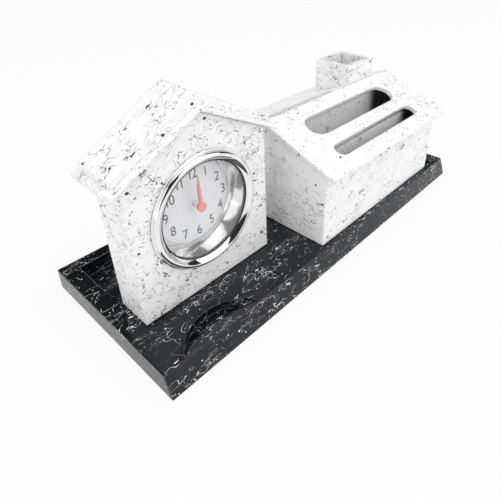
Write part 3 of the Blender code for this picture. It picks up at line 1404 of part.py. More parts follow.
def make_setting_knob(axis):
    """Ridged knob on the back, with its stem and the pinion that turns the minute wheel."""
    front = CUP_DEPTH + SEAT_GAP
    knob = outline_solid(
        "setting_knob", [ridged_outline(KNOB_RADIUS, KNOB_RIDGES, KNOB_RIDGE_HEIGHT)],
        KNOB_THICKNESS, BLACK_PLASTIC, behind(front + KNOB_THICKNESS / 2, KNOB_SPOT), axis,
    )
    add_shaft(
        knob, "stem", STEM_RADIUS, PLATE_FRONT + PIVOT_INSET, front + SUNK, KNOB_SPOT, axis,
        BLACK_PLASTIC,
    )
    phase = meshing_phase(MINUTE_TEETH, minute_wheel_phase(), MINUTE_DIRECTION, SETTING_TEETH)
    join(knob, gear(
        "setting_pinion", SETTING_TEETH, MINUTE_MODULE, phase, PINION_TIP_SHARE, MINUTE_LAYER,
        KNOB_SPOT, axis, BLACK_PLASTIC,
    ))


def make_hand(name, length, depth, hub_height, axis):
    """Tapering hand that leans a little before twelve, with a round hub."""
    root, tip = HAND_ROOT_WIDTH / 2, HAND_TIP_WIDTH / 2
    outline = [(-root, 0), (root, 0)] + arc((0, length - tip), tip, 0, 180, SMALL_STEPS // 2)
    place = behind(depth) @ Matrix.Rotation(HAND_LEAN, 4, "Z")
    hand = outline_solid(name, [outline], HAND_THICKNESS, HAND_RED, place, axis)
    return join(hand, rod(
        name + "_hub", HAND_HUB, hub_height, HAND_RED, behind(depth), axis, steps=ROUND_STEPS
    ))


def make_hands(axis):
    minute = make_hand(
        "minute_hand", MINUTE_HAND_LENGTH, MINUTE_HAND_DEPTH, MINUTE_HUB_HEIGHT, axis
    )
    front = MINUTE_HAND_DEPTH - MINUTE_HUB_HEIGHT / 2 + SEAT_GAP
    cut(minute, rod(
        "minute_socket", CENTRE_ARBOR + COIL_GAP, MINUTE_HUB_HEIGHT, HAND_RED,
        behind(front + MINUTE_HUB_HEIGHT / 2), axis,
    ))
    hour = make_hand(
        "hour_hand", HOUR_HAND_LENGTH, HOUR_HAND_DEPTH, HAND_THICKNESS + LAYER_GAP, axis
    )
    drill(
        hour, "hour_socket", HOUR_TUBE + COIL_GAP, HOUR_HAND_DEPTH, CENTRE_SPOT, axis, HAND_THICKNESS
    )


def make_clock():
    axis = clock_axis()
    make_bezel(axis)
    make_lens(axis)
    make_reflector(axis)
    make_dial(axis)
    make_cup(axis)
    make_grip_ring(axis)
    make_main_plate(axis)
    make_bridge(axis)
    make_centre_wheel(axis)
    make_hour_wheel(axis)
    make_minute_wheel(axis)
    make_intermediate_wheel(axis)
    make_rotor(axis)
    make_motor(axis)
    make_board(axis)
    make_battery(axis)
    make_hatch(axis)
    make_setting_knob(axis)
    make_hands(axis)


make_tray()
make_clock_house()
make_clock_roof()
make_pen_house()
make_pen_roof()
make_chimney()
make_clock()
bpy.context.view_layer.update()
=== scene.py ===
"""The finish of a pen holder clock: two white marble-print houses on a charcoal marble-print tray,
with a chrome push-in clock, lit on a pale floor."""

import math

import bmesh
import bpy
from mathutils import Matrix, Vector


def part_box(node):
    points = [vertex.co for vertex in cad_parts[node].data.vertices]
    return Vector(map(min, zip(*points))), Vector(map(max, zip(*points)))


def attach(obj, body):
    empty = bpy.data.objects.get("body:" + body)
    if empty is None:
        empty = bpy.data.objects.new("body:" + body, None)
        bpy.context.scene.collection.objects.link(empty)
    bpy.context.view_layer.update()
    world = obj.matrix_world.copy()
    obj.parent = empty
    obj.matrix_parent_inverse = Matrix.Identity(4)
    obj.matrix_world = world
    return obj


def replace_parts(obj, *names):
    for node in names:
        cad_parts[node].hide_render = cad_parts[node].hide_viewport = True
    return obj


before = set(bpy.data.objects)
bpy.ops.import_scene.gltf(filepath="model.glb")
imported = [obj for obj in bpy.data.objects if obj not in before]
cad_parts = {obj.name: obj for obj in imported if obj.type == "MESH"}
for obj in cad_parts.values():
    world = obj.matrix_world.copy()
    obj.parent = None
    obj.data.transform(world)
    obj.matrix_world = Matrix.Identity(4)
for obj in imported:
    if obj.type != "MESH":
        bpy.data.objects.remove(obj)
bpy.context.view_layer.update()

# The dial, taken from the solids
dial_low, dial_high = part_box("dial")
DIAL_MIDDLE = (dial_low + dial_high) / 2
DIAL_FACE = dial_low.y


class Wire:
    """A socket's output. Arithmetic on it adds Math nodes to its tree."""

    def __init__(self, socket):
        self.socket = socket

    def sum_of(self, operation, *terms):
        nodes = Nodes(self.socket.id_data)
        return nodes.add("ShaderNodeMath", {"operation": operation}, dict(enumerate(terms)))

    def __add__(self, other):
        return self.sum_of("ADD", self, other)

    def __radd__(self, other):
        return self.sum_of("ADD", other, self)

    def __sub__(self, other):
        return self.sum_of("SUBTRACT", self, other)

    def __rsub__(self, other):
        return self.sum_of("SUBTRACT", other, self)

    def __mul__(self, other):
        return self.sum_of("MULTIPLY", self, other)

    def __rmul__(self, other):
        return self.sum_of("MULTIPLY", other, self)

    def __truediv__(self, other):
        return self.sum_of("DIVIDE", self, other)

    def __gt__(self, other):
        return self.sum_of("GREATER_THAN", self, other)

    def __lt__(self, other):
        return self.sum_of("LESS_THAN", self, other)

    def __abs__(self):
        return self.sum_of("ABSOLUTE", self)

    def most(self, other):
        return self.sum_of("MAXIMUM", self, other)

    def least(self, other):
        return self.sum_of("MINIMUM", self, other)


class Nodes:
    """A node tree in the making. Its method add makes any node."""

    def __init__(self, tree):
        self.tree = tree

    def add(self, kind, settings=None, sockets=None, out=0):
        """Adds a node, sets it, then fills its sockets, and hands back one of its outputs."""
        node = self.tree.nodes.new(kind)
        for name, value in (settings or {}).items():
            setattr(node, name, value)
        for key, value in (sockets or {}).items():
            if isinstance(value, Wire):
                self.tree.links.new(value.socket, node.inputs[key])
            else:
                node.inputs[key].default_value = value
        return Wire(node.outputs[out]) if node.outputs else node

    def parts(self, vector):
        """The three coordinates of a vector."""
        first = self.add("ShaderNodeSeparateXYZ", None, {0: vector})
        return [Wire(out) for out in first.socket.node.outputs]

    def ease(self, value, low, high):
        """0 below low, 1 above high, smooth between."""
        return self.add("ShaderNodeMapRange", {"interpolation_type": "SMOOTHSTEP"},
                        {"Value": value, "From Min": low, "From Max": high})

    def tint(self, factor, first, second):
        """A colour between two colours."""
        return self.add("ShaderNodeMix", {"data_type": "RGBA"}, {0: factor, 6: first, 7: second}, 2)


class Finish(Nodes):
    """A material in the making, with the textures that the finishes here share."""

    def __init__(self, name):
        self.material = bpy.data.materials.new(name)
        self.material.use_nodes = True
        super().__init__(self.material.node_tree)
        self.tree.nodes.clear()
        self.place = self.add("ShaderNodeTexCoord", out="Object")

    def noise(self, scale, seed, detail=2.0, roughness=0.5, out=0):
        sockets = {"Vector": self.place, "W": seed, "Scale": scale, "Detail": detail, "Roughness": roughness}
        return self.add("ShaderNodeTexNoise", {"noise_dimensions": "4D"}, sockets, out)

    def lie_flat(self, turn, stretch):
        """Makes every texture after this a print: two coordinates along the face, one for the face's
        facing. The print is drawn out along one direction of the face."""
        along, across, up = self.parts(self.place)
        facing = self.parts(self.add("ShaderNodeTexCoord", out="Normal"))
        sideways = abs(facing[0]) > 0.7
        upward = abs(facing[2]) > 0.55
        flat = {0: along + sideways * (across - along), 1: up + upward * (across - up),
                2: sideways * 0.31 + upward * 0.57}
        printed = self.add("ShaderNodeCombineXYZ", None, flat)
        self.place = self.add("ShaderNodeMapping", None, {
            "Vector": printed, "Rotation": (0.0, 0.0, turn), "Scale": (1.0 / stretch, stretch, 1.0)})

    def cells(self, scale, place=None, feature="F1", out=0):
        """Random cells over a face. Their distances and colours are its outputs."""
        return self.add("ShaderNodeTexVoronoi", {"feature": feature, "voronoi_dimensions": "2D"},
                        {"Vector": place or self.place, "Scale": scale}, out)

    def vector(self, operation, first, second, out=0):
        return self.add("ShaderNodeVectorMath", {"operation": operation}, {0: first, 1: second}, out)

    def shift(self, amount, scale, seed):
        """The place, pushed about by a noise so that what reads it curls."""
        push = self.vector("SUBTRACT", self.noise(scale, seed, 1.0, out=1), (0.5, 0.5, 0.5))
        pushed = self.vector("ADD", self.place, self.vector("MULTIPLY", push, (amount, amount, amount)))
        return self.vector("ADD", pushed, (seed * 0.13, seed * 0.07, 0.0))

    def edges(self, radius):
        """1 along the edges of a piece: the mask for a highlight painted along them."""
        soft = self.add("ShaderNodeBevel", {"samples": 6}, {"Radius": radius})
        hard = self.add("ShaderNodeNewGeometry", out="Normal")
        return self.ease(self.vector("DISTANCE", soft, hard, "Value"), 0.20, 0.50)

    def bump(self, height, distance, strength, edge=0.0):
        """A grain, and with an edge radius also a softened look of the piece's edges."""
        sockets = {"Strength": strength, "Distance": distance, "Height": height}
        if edge:
            sockets["Normal"] = self.add("ShaderNodeBevel", {"samples": 4}, {"Radius": edge})
        return self.add("ShaderNodeBump", None, sockets)

    def close(self, sockets):
        """Ends the material in a Principled BSDF."""
        shader = self.add("ShaderNodeBsdfPrincipled", None, sockets)
        self.add("ShaderNodeOutputMaterial", None, {"Surface": shader})
        return self.material


def grey(level):
    return (level, level, level, 1.0)


def curls(finish, scale, seed, half_width):
    """Curling strokes, along the line where one noise passes its middle."""
    away = abs(finish.noise(scale, seed, 2.0, 0.55) - 0.5)
    return 1.0 - finish.ease(away, half_width * scale * 0.4, half_width * scale)


def cracks(finish, scale, seed, half_width):
    """Kinked and forked strokes that swell and thin, along the borders of pushed cells."""
    away = finish.cells(scale, finish.shift(1.1 / scale, scale * 1.1, seed), "DISTANCE_TO_EDGE")
    width = (finish.noise(300.0, seed + 5.2, 1.0) * 2.4 - 0.38) * (half_width * scale)
    return 1.0 - finish.ease(away, width * 0.4, width)


def strokes(finish, cluster, rows):
    """Kinds of stroke laid over each other. Each row gives the kind, its scale, seed and half width, then
    the scale and seed of the patches it lies in, their gain inside the clusters and their threshold."""
    laid = 0.0
    for kind, scale, seed, half_width, patch_scale, patch_seed, gain, level in rows:
        patch = finish.noise(patch_scale, patch_seed, 1.0) + cluster * gain
        laid = (kind(finish, scale, seed, half_width) * finish.ease(patch, level, level + 0.02)).most(laid)
    return laid


def dots(finish, scale, radius, share):
    """Round specks in a share of the cells, each of its own size."""
    distance = finish.cells(scale)
    pick = finish.add("ShaderNodeSeparateColor", None, {"Color": finish.cells(scale, out="Color")})
    size = finish.ease(pick, 1.0 - share, 1.0) * radius
    return size > distance


def within(finish, place, low, high):
    """1 inside a box, 0 outside it. It fades in over its first few millimetres along the tray."""
    along, across, up = finish.parts(place)
    inside = finish.ease(along, low[0], low[0] + 0.008) * (along < high[0])
    for value, least, most in ((across, low[1], high[1]), (up, low[2], high[2])):
        inside = inside * (value > least) * (value < most)
    return inside


# Marble prints

EDGE_SOFTNESS = 0.0007
# Dark raw tones for the deep inside of the pen house: partly bare moulding, partly painted shade.
RAW_AND_SHADE_DARK, RAW_AND_SHADE_PALE = (0.070, 0.059, 0.062, 1.0), (0.090, 0.077, 0.080, 1.0)
CHARCOAL_DARK, CHARCOAL_PALE = (0.0045, 0.0052, 0.008, 1.0), (0.009, 0.0105, 0.015, 1.0)
# The ground's tone toward the tray's right end, paler than the rest.
CHARCOAL_TOWARD_RIGHT = (0.034, 0.036, 0.042, 1.0)


def white_print(name, rarity, bare_and_shaded_inside=None):
    """White lacquer printed with short black and grey strokes and specks. A higher rarity leaves more of
    it plain. Inside the box given last, low and high corner, the colour goes over to a dark raw tone: partly
    bare moulding without lacquer, partly painted shade of the deep inside."""
    finish = Finish(name)
    solid_place = finish.place
    finish.lie_flat(-0.5, 1.15)
    cluster = finish.ease(finish.noise(52.0, 40.0, 1.0), 0.42, 0.60) - rarity
    bold = strokes(finish, cluster, [
        (cracks, 150.0, 1.7, 0.00017, 180.0, 4.8, 0.06, 0.622),
        (cracks, 235.0, 4.1, 0.00014, 240.0, 7.2, 0.06, 0.618),
        (curls, 175.0, 8.6, 0.00010, 150.0, 15.9, 0.07, 0.615),
    ])
    fine = strokes(finish, cluster, [
        (cracks, 215.0, 12.9, 0.00011, 120.0, 16.0, 0.09, 0.545),
        (curls, 150.0, 21.5, 0.00005, 80.0, 28.8, 0.08, 0.545),
        (cracks, 75.0, 31.5, 0.00009, 60.0, 38.8, 0.05, 0.575),
    ])
    specks = dots(finish, 130.0, 0.095, 0.20).most(dots(finish, 420.0, 0.16, 0.10))
    depth = 0.70 + finish.noise(120.0, 33.0, 1.0) * 0.60
    mottle = finish.ease(finish.noise(130.0, 3.0, 4.0, 0.6), 0.45, 0.70)
    ground = finish.tint(mottle, grey(0.87), grey(0.79))
    softened = finish.tint(fine * 0.70, ground, grey(0.10))
    colour = finish.tint(bold.most(specks) * depth.least(1.0), softened, grey(0.02))
    gloss = 0.30 + finish.noise(60.0, 21.0, 3.0) * 0.10
    if bare_and_shaded_inside:
        # Partly painted shade: inside the box the colour darkens to a raw tone, fading in along the tray.
        bare_and_shade = within(finish, solid_place, *bare_and_shaded_inside)
        raw_and_shade = finish.tint(finish.noise(700.0, 2.0, 2.0), RAW_AND_SHADE_DARK, RAW_AND_SHADE_PALE)
        colour = finish.tint(bare_and_shade, colour, raw_and_shade)
        gloss = gloss + bare_and_shade * 0.2
    skin = finish.bump(finish.noise(140.0, 5.5, 2.0), 0.00004, 0.5, EDGE_SOFTNESS)
    return finish.close({"Base Color": colour, "Roughness": gloss, "Normal": skin, "Coat Weight": 0.25,
                         "Coat Roughness": 0.12, "IOR": 1.46})


def charcoal_print():
    """Charcoal lacquer with white strokes, longer hair lines and specks. The strokes crowd toward the left
    end, the ground pales toward the right one, and a painted highlight lines the edges, strongest round the
    trough."""
    finish = Finish("charcoal_marble_print")
    along, back, _ = finish.parts(finish.place)
    leftward = finish.ease(along, 0.06, -0.09)
    rightward = finish.ease(along, -0.04, 0.10)
    # Painted highlight: a light line along the tray's edges, strongest round the trough.
    painted_edge_highlight = finish.edges(0.0006) * (0.20 + finish.ease(back, -0.034, -0.020) * 0.60)
    finish.lie_flat(0.6, 1.45)
    cluster = finish.ease(finish.noise(46.0, 43.0, 1.0), 0.42, 0.60) * (0.7 + leftward * 0.3)
    bold = strokes(finish, cluster, [
        (cracks, 150.0, 2.4, 0.00012, 150.0, 5.8, 0.08, 0.674),
        (cracks, 250.0, 6.2, 0.00008, 200.0, 9.2, 0.11, 0.670),
        (curls, 130.0, 9.6, 0.000045, 90.0, 16.9, 0.07, 0.600),
    ])
    fine = strokes(finish, cluster, [
        (curls, 70.0, 15.1, 0.00004, 48.0, 18.2, 0.04, 0.550),
        (curls, 200.0, 14.5, 0.00005, 110.0, 21.8, 0.10, 0.578),
        (cracks, 70.0, 24.5, 0.00008, 60.0, 31.8, 0.04, 0.560),
    ])
    specks = dots(finish, 150.0, 0.06, 0.05).most(dots(finish, 560.0, 0.15, 0.14))
    depth = 0.70 + finish.noise(120.0, 33.0, 1.0) * 0.60
    cloud = finish.ease(finish.noise(22.0, 3.0, 3.0), 0.35, 0.70)
    ground = finish.tint(rightward * 0.7, finish.tint(cloud, CHARCOAL_DARK, CHARCOAL_PALE), CHARCOAL_TOWARD_RIGHT)
    softened = finish.tint(fine * 0.45, ground, grey(0.50))
    printed = finish.tint(bold.most(specks) * depth.least(1.0), softened, grey(0.90))
    # The painted edge highlight goes over the print here.
    colour = finish.tint(painted_edge_highlight, printed, grey(0.26))
    gloss = 0.12 + finish.noise(60.0, 21.0, 3.0) * 0.10
    skin = finish.bump(finish.noise(140.0, 5.5, 2.0), 0.00004, 0.5, EDGE_SOFTNESS)
    return finish.close({"Base Color": colour, "Roughness": gloss, "Normal": skin, "IOR": 1.44})


# Clock finishes

def chrome_plate(name, tone, roughness, ripple):
    """Bright plating with a faint haze of wiping marks and a slight ripple."""
    finish = Finish(name)
    haze = finish.ease(finish.noise(240.0, 2.2, 4.0, 0.65), 0.45, 0.75)
    colour = finish.tint(haze * 0.4, grey(tone), grey(tone * 0.88))
    return finish.close({"Base Color": colour, "Metallic": 1.0, "Roughness": roughness + haze * 0.05,
                         "Normal": finish.bump(finish.noise(110.0, 3.0, 1.0), ripple, 0.6)})


def clear_plastic():
    """Thin clear cover: it shows what is under it and a faint sheen."""
    finish = Finish("clear_cover")
    smear = finish.noise(90.0, 6.0, 3.0)
    colour = finish.tint(smear, grey(0.92), grey(0.97))
    return finish.close({"Base Color": colour, "Roughness": 0.02 + smear * 0.03, "Alpha": 0.07 + smear * 0.03,
                         "IOR": 1.49})


def dial_card():
    """Printed card, faintly lavender, with a paper grain."""
    finish = Finish("dial_card")
    grain = finish.noise(1800.0, 1.0, 3.0, 0.6)
    wash = finish.noise(45.0, 2.0, 2.0)
    first = finish.tint(grain * 0.5, (0.825, 0.832, 0.880, 1.0), (0.855, 0.860, 0.900, 1.0))
    colour = finish.tint(finish.ease(wash, 0.3, 0.8) * 0.35, first, (0.800, 0.808, 0.865, 1.0))
    return finish.close({"Base Color": colour, "Roughness": 0.48 + grain * 0.12,
                         "Normal": finish.bump(grain, 0.00002, 0.4)})


def moulded(name, first, second, roughness, grain=900.0, depth=0.00002, metallic=0.0):
    """Moulded or worked stuff: two close tones, a grain and a soft wear."""
    finish = Finish(name)
    cloud = finish.ease(finish.noise(grain / 14, 4.0, 3.0), 0.3, 0.7)
    fine = finish.noise(grain, 9.0, 3.0, 0.6)
    colour = finish.tint(cloud * 0.6 + fine * 0.4, first, second)
    return finish.close({"Base Color": colour, "Metallic": metallic, "Roughness": roughness + fine * 0.12,
                         "Normal": finish.bump(fine, depth, 0.5)})


# Which finish goes on which piece

def dress(pieces):
    """Gives each finish to the solids named beside it."""
    for finish, names in pieces:
        for name in names:
            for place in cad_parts[name].material_slots:
                place.material = finish


white = white_print("white_marble_print", -0.12)
thin_white = white_print("thin_marble_print", 0.38)
sparse_white = white_print("sparse_marble_print", 0.85)
HALF_WALL = 0.0011
BARE_AND_SHADE_LENGTH = 0.024
shell_low, shell_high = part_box("pen_house_shell")
bare_and_shade_from = shell_high.x - BARE_AND_SHADE_LENGTH
inside_low = (bare_and_shade_from, shell_low.y + HALF_WALL, shell_low.z + HALF_WALL)
inside_high = tuple(edge - HALF_WALL for edge in shell_high)
# The right end of the pen house's inside, and the partitions' right ends, darken to a raw tone that is partly
# painted shade.
shell_print = white_print("pen_house_print", 0.60, (inside_low, inside_high))
partition_print = white_print("partition_print", 0.55, ((bare_and_shade_from, -1.0, -1.0), (1.0, 1.0, 1.0)))
charcoal = charcoal_print()
chrome = chrome_plate("chrome_plate", 0.86, 0.04, 0.00002)
soft_chrome = chrome_plate("reflector_plate", 0.80, 0.12, 0.00035)
steel = moulded("bright_steel", grey(0.50), grey(0.60), 0.22, 2400.0, 0.000006, 1.0)
black = moulded("black_moulding", grey(0.020), grey(0.034), 0.36)
grey_moulding = moulded("grey_moulding", grey(0.26), grey(0.32), 0.42)
rubber = moulded("foot_rubber", grey(0.016), grey(0.030), 0.72, 1400.0, 0.00005)
nylon = moulded("natural_nylon", (0.82, 0.81, 0.77, 1.0), (0.87, 0.86, 0.82, 1.0), 0.34)
brass = moulded("spring_brass", (0.66, 0.47, 0.19, 1.0), (0.76, 0.57, 0.27, 1.0), 0.24, 2000.0, 0.000006, 1.0)
copper = moulded("enamelled_copper", (0.62, 0.25, 0.11, 1.0), (0.74, 0.34, 0.17, 1.0), 0.26, 2600.0, 0.00001,
                 0.6)
board = moulded("board_lacquer", (0.030, 0.19, 0.085, 1.0), (0.045, 0.25, 0.12, 1.0), 0.30)
red = moulded("hand_paint", (0.80, 0.20, 0.17, 1.0), (0.86, 0.26, 0.22, 1.0), 0.34, 1500.0, 0.000006)
ink = moulded("numeral_ink", grey(0.045), grey(0.075), 0.55, 1500.0, 0.000004)

dress([
    (white, ["clock_house_shell", "clock_house_back_cover"]),
    (thin_white, ["clock_house_roof", "chimney_tube"]),
    (sparse_white, ["pen_house_roof"]),
    (shell_print, ["pen_house_shell"]),
    (partition_print, ["front_partition", "rear_partition"]),
    (charcoal, ["tray_base"]),
    (rubber, [*(f"foot_pad_{k}" for k in range(1, 5)), "grip_ring"]),
    (chrome, ["bezel", "reflector"]),
    (clear_plastic(), ["lens"]),
    (dial_card(), ["dial"]),
    (red, ["minute_hand", "hour_hand"]),
    (grey_moulding, ["clock_cup", "battery_hatch"]),
    (black, ["setting_knob", "coil_bobbin"]),
    (nylon, ["main_plate", "bridge", "centre_wheel", "hour_wheel", "minute_wheel", "intermediate_wheel"]),
    (steel, ["rotor", "stator", "coil_core", "quartz_crystal", "battery_cell", "cover_screw_top",
             *(f"bridge_screw_{k}" for k in range(1, 4)),
             *(f"{held}_screw_{side}" for held in ("clock_house", "pen_house", "cover")
               for side in ("left", "right"))]),
    (brass, ["battery_contact", "battery_spring"]),
    (copper, ["coil_winding"]),
    (board, ["circuit_board"]),
])


# Turned chrome, finer than the solids, so that what it mirrors runs smoothly round

HOUSE_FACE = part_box("lens")[0].y
AROUND = 192


def show(name, content):
    """A new object in the scene, at the world's origin."""
    item = bpy.data.objects.new(name, content)
    bpy.context.scene.collection.objects.link(item)
    return item


def declare(item):
    """Says that a piece stays with the set."""
    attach(item, "desk_set")
    return item


def arc(middle, radius, start, end, steps):
    """Points of an arc on the turning profile, in degrees from straight outward."""
    turns = [math.radians(start + (end - start) * k / steps) for k in range(steps + 1)]
    return [(middle[0] + radius * math.cos(turn), middle[1] + radius * math.sin(turn)) for turn in turns]


def turned_ring(name, profile, finish, dark=()):
    """A closed ring about the clock's axis. The profile holds (radius, distance in front of the house).
    The steps of it listed as dark are blackened."""
    count = len(profile)
    points = []
    for step in range(AROUND):
        turn = 2 * math.pi * step / AROUND
        points += [(DIAL_MIDDLE.x + r * math.sin(turn), HOUSE_FACE - f, DIAL_MIDDLE.z + r * math.cos(turn))
                   for r, f in profile]
    faces = []
    for step in range(AROUND):
        here, there = step * count, (step + 1) % AROUND * count
        faces += [(here + k, here + n, there + n, there + k)
                  for k, n in ((k, (k + 1) % count) for k in range(count))]
    shape = bpy.data.meshes.new(name)
    shape.from_pydata(points, [], faces)
    work = bmesh.new()
    work.from_mesh(shape)
    bmesh.ops.recalc_face_normals(work, faces=work.faces)
    work.to_mesh(shape)
    work.free()
    shape.shade_smooth()
    shape.set_sharp_from_angle(angle=math.radians(38))
    shape.materials.append(finish)
    shape.materials.append(black)
    for face in shape.polygons:
        face.material_index = int(face.index % count in dark)
    return declare(show(name, shape))


def make_bezel():
    """A thin flange against the house, a rolled bead, and a dished slope down to the cover."""
    low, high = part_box("bezel")
    outer = (high.x - low.x) / 2
    rise = HOUSE_FACE - low.y
    seat = HOUSE_FACE - high.y
    flange = 0.0005
    ledge = 0.0006
    bead = 0.0017
    mouth = 0.0229
    crest = (outer - ledge - bead, rise - bead)
    slope = [(crest[0] - 0.0006, rise - 0.00022), (0.0247, 0.00165), (0.0241, 0.00125), (0.0236, 0.00080)]
    profile = [(outer, seat), (outer, flange), *arc(crest, bead, -8, 104, 14), *slope,
               (mouth, 0.00052), (mouth, seat)]
    rim = len(profile) - 3
    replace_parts(turned_ring("turned_bezel", profile, chrome, (rim, rim + 1)), "bezel")


def make_reflector():
    """A cone with a slight flare, from a small edge at its mouth to the sight of the dial."""
    low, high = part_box("reflector")
    outer = (high.x - low.x) / 2
    front, back = HOUSE_FACE - low.y, HOUSE_FACE - high.y
    wall = 0.0006
    flare = 0.0003
    sight = min(math.hypot(v.co.x - DIAL_MIDDLE.x, v.co.z - DIAL_MIDDLE.z)
                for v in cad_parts["reflector"].data.vertices)
    mouth, lip = outer - wall - 0.0003, front - 0.0004
    face = []
    for k in range(9):
        share = k / 8
        face.append((mouth + (sight - mouth) * share - flare * math.sin(math.pi * share),
                     lip + (back - lip) * share))
    profile = [(outer, front), (outer - wall, front), *face, (sight + wall, back)]
    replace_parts(turned_ring("turned_reflector", profile, soft_chrome), "reflector")


make_bezel()
make_reflector()


# Numerals, each a thin print on the dial

NUMERAL_RING = 0.0174
NUMERAL_HEIGHT = 0.0049
NUMERAL_DEPTH = 0.00012
FIGURE_SHIFT = 0.00035
PAIR_SHIFT = 0.00135
FIGURE_RISE = 0.70
NARROW = 0.86
DIAL_LEAN = math.radians(2.0)


def figures(number):
    """The outline of a number as a thin mesh, lying flat."""
    words = bpy.data.curves.new(f"numeral_{number}_outline", "FONT")
    words.body = str(number)
    words.align_x = "CENTER"
    words.align_y = "CENTER"
    words.size = NUMERAL_HEIGHT / FIGURE_RISE
    words.space_character = 0.80
    words.extrude = NUMERAL_DEPTH / 2
    words.resolution_u = 6
    outline = show(f"numeral_{number}_curve", words)
    bpy.context.view_layer.update()
    shape = bpy.data.meshes.new_from_object(outline)
    bpy.data.objects.remove(outline)
    return shape


def print_numeral(hour):
    """A numeral whose outer edge touches the ring. All lean with the dial, and those of two figures sit
    further right, as in the photograph."""
    shape = figures(hour)
    low, high = (Vector([pick(v.co[k] for v in shape.vertices) for k in range(3)]) for pick in (min, max))
    size = high - low
    turn = math.radians(30 * hour)
    reach = NUMERAL_RING - math.hypot(size.x / 2 * NARROW * math.sin(turn), size.y / 2 * math.cos(turn))
    turn -= DIAL_LEAN
    across = FIGURE_SHIFT if hour < 10 else PAIR_SHIFT
    spot = Vector((DIAL_MIDDLE.x + across + reach * math.sin(turn), DIAL_FACE - NUMERAL_DEPTH / 2,
                   DIAL_MIDDLE.z + reach * math.cos(turn)))
    upright = Matrix.Rotation(math.radians(90), 4, "X") @ Matrix.Rotation(DIAL_LEAN, 4, "Z")
    narrowed = Matrix.Diagonal((NARROW, 1.0, 1.0, 1.0)) @ Matrix.Translation(-(low + high) / 2)
    shape.transform(Matrix.Translation(spot) @ upright @ narrowed)
    shape.materials.clear()
    shape.materials.append(ink)
    declare(show(f"numeral_{hour}", shape))


for hour in range(1, 13):
    print_numeral(hour)


# The coil's turns of wire, one ring after the other along the bobbin

COIL_TURNS = 40


def turns_of_wire():
    """A geometry tree with named inputs: rings of wire side by side on a core, about the x axis."""
    tree = bpy.data.node_groups.new("turns_of_wire", "GeometryNodeTree")
    tree.interface.new_socket("Geometry", in_out="OUTPUT", socket_type="NodeSocketGeometry")
    for name, kind in (("Turns", "NodeSocketInt"), ("Length", "NodeSocketFloat"),
                       ("Outer Radius", "NodeSocketFloat"), ("Wire Radius", "NodeSocketFloat"),
                       ("Finish", "NodeSocketMaterial")):
        tree.interface.new_socket(name, in_out="INPUT", socket_type=kind)
    nodes = Nodes(tree)
    turns, length, outer, wire, finish = (
        Wire(out) for out in tree.nodes.new("NodeGroupInput").outputs[:5])
    upright = (0.0, math.radians(90), 0.0)
    middle_radius = outer - wire
    first = nodes.add("ShaderNodeCombineXYZ", None, {0: wire - length * 0.5})
    pitch = nodes.add("ShaderNodeCombineXYZ", None, {0: (length - wire * 2.0) / (turns - 1.0)})
    line = nodes.add("GeometryNodeMeshLine", None, {"Count": turns, "Start Location": first, "Offset": pitch})
    path = nodes.add("GeometryNodeCurvePrimitiveCircle", None, {"Resolution": 32, "Radius": middle_radius})
    section = nodes.add("GeometryNodeCurvePrimitiveCircle", None, {"Resolution": 8, "Radius": wire})
    ring = nodes.add("GeometryNodeCurveToMesh", None, {"Curve": path, "Profile Curve": section})
    rings = nodes.add("GeometryNodeInstanceOnPoints", None, {"Points": line, "Instance": ring,
                                                             "Rotation": upright})
    rings = nodes.add("GeometryNodeRealizeInstances", None, {"Geometry": rings})
    core = nodes.add("GeometryNodeMeshCylinder", None, {"Vertices": 32, "Radius": middle_radius,
                                                        "Depth": length})
    core = nodes.add("GeometryNodeTransform", None, {"Geometry": core, "Rotation": upright})
    joined = nodes.add("GeometryNodeJoinGeometry", None, {"Geometry": rings})
    tree.links.new(core.socket, joined.socket.node.inputs[0])
    smooth = nodes.add("GeometryNodeSetShadeSmooth", None, {"Geometry": joined})
    dressed = nodes.add("GeometryNodeSetMaterial", None, {"Geometry": smooth, "Material": finish})
    tree.links.new(dressed.socket, tree.nodes.new("NodeGroupOutput").inputs[0])
    return tree


def wind_coil():
    """The winding, with as many turns as its length has room for at the wire's thickness."""
    low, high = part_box("coil_winding")
    length = high.x - low.x
    values = {"Turns": COIL_TURNS, "Length": length, "Outer Radius": (high.z - low.z) / 2,
              "Wire Radius": length / COIL_TURNS / 2, "Finish": copper}
    carrier = show("coil_carrier", bpy.data.meshes.new("coil_carrier"))
    modifier = carrier.modifiers.new("turns", "NODES")
    modifier.node_group = turns_of_wire()
    for socket in modifier.node_group.interface.items_tree:
        if socket.name in values:
            modifier[socket.identifier] = values[socket.name]
    bpy.context.view_layer.update()
    shape = bpy.data.meshes.new_from_object(carrier.evaluated_get(bpy.context.evaluated_depsgraph_get()))
    bpy.data.objects.remove(carrier)
    shape.transform(Matrix.Translation((low + high) / 2))
    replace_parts(declare(show("wound_wire", shape)), "coil_winding")


wind_coil()


# Studio: a pale floor, a pale surround and three soft lamps

FLOOR_REACH = 6.0
WORLD_LIGHT = 0.67
GLOSS_LIGHT = 0.80
GLOSS_DARK = 0.03
SET_MIDDLE = Vector((0.0, 0.0, 0.05))


def seen_directly(nodes):
    """1 where a ray comes from the camera, and 1 where it comes off a gloss or through a clear piece."""
    path = nodes.tree.nodes.new("ShaderNodeLightPath")
    camera, gloss, through = (Wire(path.outputs[name]) for name in
                              ("Is Camera Ray", "Is Glossy Ray", "Is Transmission Ray"))
    return camera, gloss.most(through)


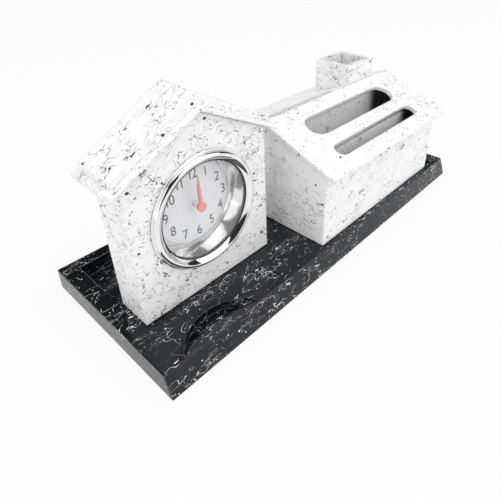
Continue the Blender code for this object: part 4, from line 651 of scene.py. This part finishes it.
def make_floor():
    """Matt paper that keeps the set's shadow, and goes over into the white of the surround."""
    finish = Finish("pale_floor")
    camera, gloss = seen_directly(finish)
    paper = finish.noise(30.0, 1.0, 3.0)
    matt = finish.add("ShaderNodeBsdfDiffuse", None, {"Color": finish.tint(paper, grey(0.70), grey(0.74))})
    glow = finish.add("ShaderNodeEmission", None, {"Color": grey(1.0), "Strength": 1.0})
    far_off = finish.ease(finish.vector("DISTANCE", finish.place, (0.0, 0.0, 0.0), "Value"), 0.5, 2.0)
    share = (camera * (0.91 + far_off * 0.09)).most(gloss * 0.90)
    mixed = finish.add("ShaderNodeMixShader", None, {0: share, 1: matt, 2: glow})
    finish.add("ShaderNodeOutputMaterial", None, {"Surface": mixed})
    corners = [(x * FLOOR_REACH, y * FLOOR_REACH, 0.0) for x, y in ((-1, -1), (1, -1), (1, 1), (-1, 1))]
    shape = bpy.data.meshes.new("floor")
    shape.from_pydata(corners, [], [(0, 1, 2, 3)])
    shape.materials.append(finish.material)
    show("floor", shape)


def make_world():
    """An even surround. A gloss shows it bright overhead and low down, with a dark band between."""
    world = bpy.data.worlds.new("surround")
    world.use_nodes = True
    bpy.context.scene.world = world
    world.node_tree.nodes.clear()
    nodes = Nodes(world.node_tree)
    camera, gloss = seen_directly(nodes)
    rise = nodes.parts(nodes.add("ShaderNodeTexCoord", out="Generated"))[2]
    band = nodes.ease(rise, 0.05, 0.14) * (1.0 - nodes.ease(rise, 0.84, 0.93))
    shown = GLOSS_LIGHT + band * (GLOSS_DARK - GLOSS_LIGHT)
    strength = WORLD_LIGHT + camera * (1.0 - WORLD_LIGHT) + gloss * (shown - WORLD_LIGHT)
    surround = nodes.add("ShaderNodeBackground", None, {"Color": grey(1.0), "Strength": strength})
    nodes.add("ShaderNodeOutputWorld", None, {"Surface": surround})


def soft_lamp(name, place, size, power):
    """A wide round lamp turned to the middle of the set."""
    lamp = bpy.data.lights.new(name, "AREA")
    lamp.shape = "DISK"
    lamp.size = size
    lamp.energy = power
    item = show(name, lamp)
    item.location = place
    item.rotation_euler = (SET_MIDDLE - Vector(place)).to_track_quat("-Z", "Y").to_euler()


make_floor()
make_world()
soft_lamp("overhead_lamp", (0.0, -0.10, 1.1), 1.5, 6.0)
soft_lamp("front_lamp", (0.50, -1.05, 0.60), 1.3, 5.8)
soft_lamp("left_lamp", (-1.20, -0.10, 0.50), 1.3, 5.0)


# Camera, as fitted to the photograph

CAMERA_PLACE = (-0.17115, -0.15121, 0.16442)
CAMERA_RIGHT = (0.6722, -0.7403, -0.0086)
CAMERA_BACK = (-0.6359, -0.5833, 0.5053)


def make_camera():
    lens = bpy.data.cameras.new("photo_camera")
    lens.sensor_width = 36.0
    lens.lens = 32.35
    lens.shift_x = -0.0574
    lens.shift_y = -0.1434
    lens.clip_start = 0.01
    back = Vector(CAMERA_BACK).normalized()
    up = back.cross(Vector(CAMERA_RIGHT)).normalized()
    turned = Matrix((up.cross(back), up, back)).transposed().to_4x4()
    item = show("photo_camera", lens)
    item.matrix_world = Matrix.Translation(CAMERA_PLACE) @ turned
    bpy.context.scene.camera = item


make_camera()
bpy.context.scene.view_settings.view_transform = "Standard"
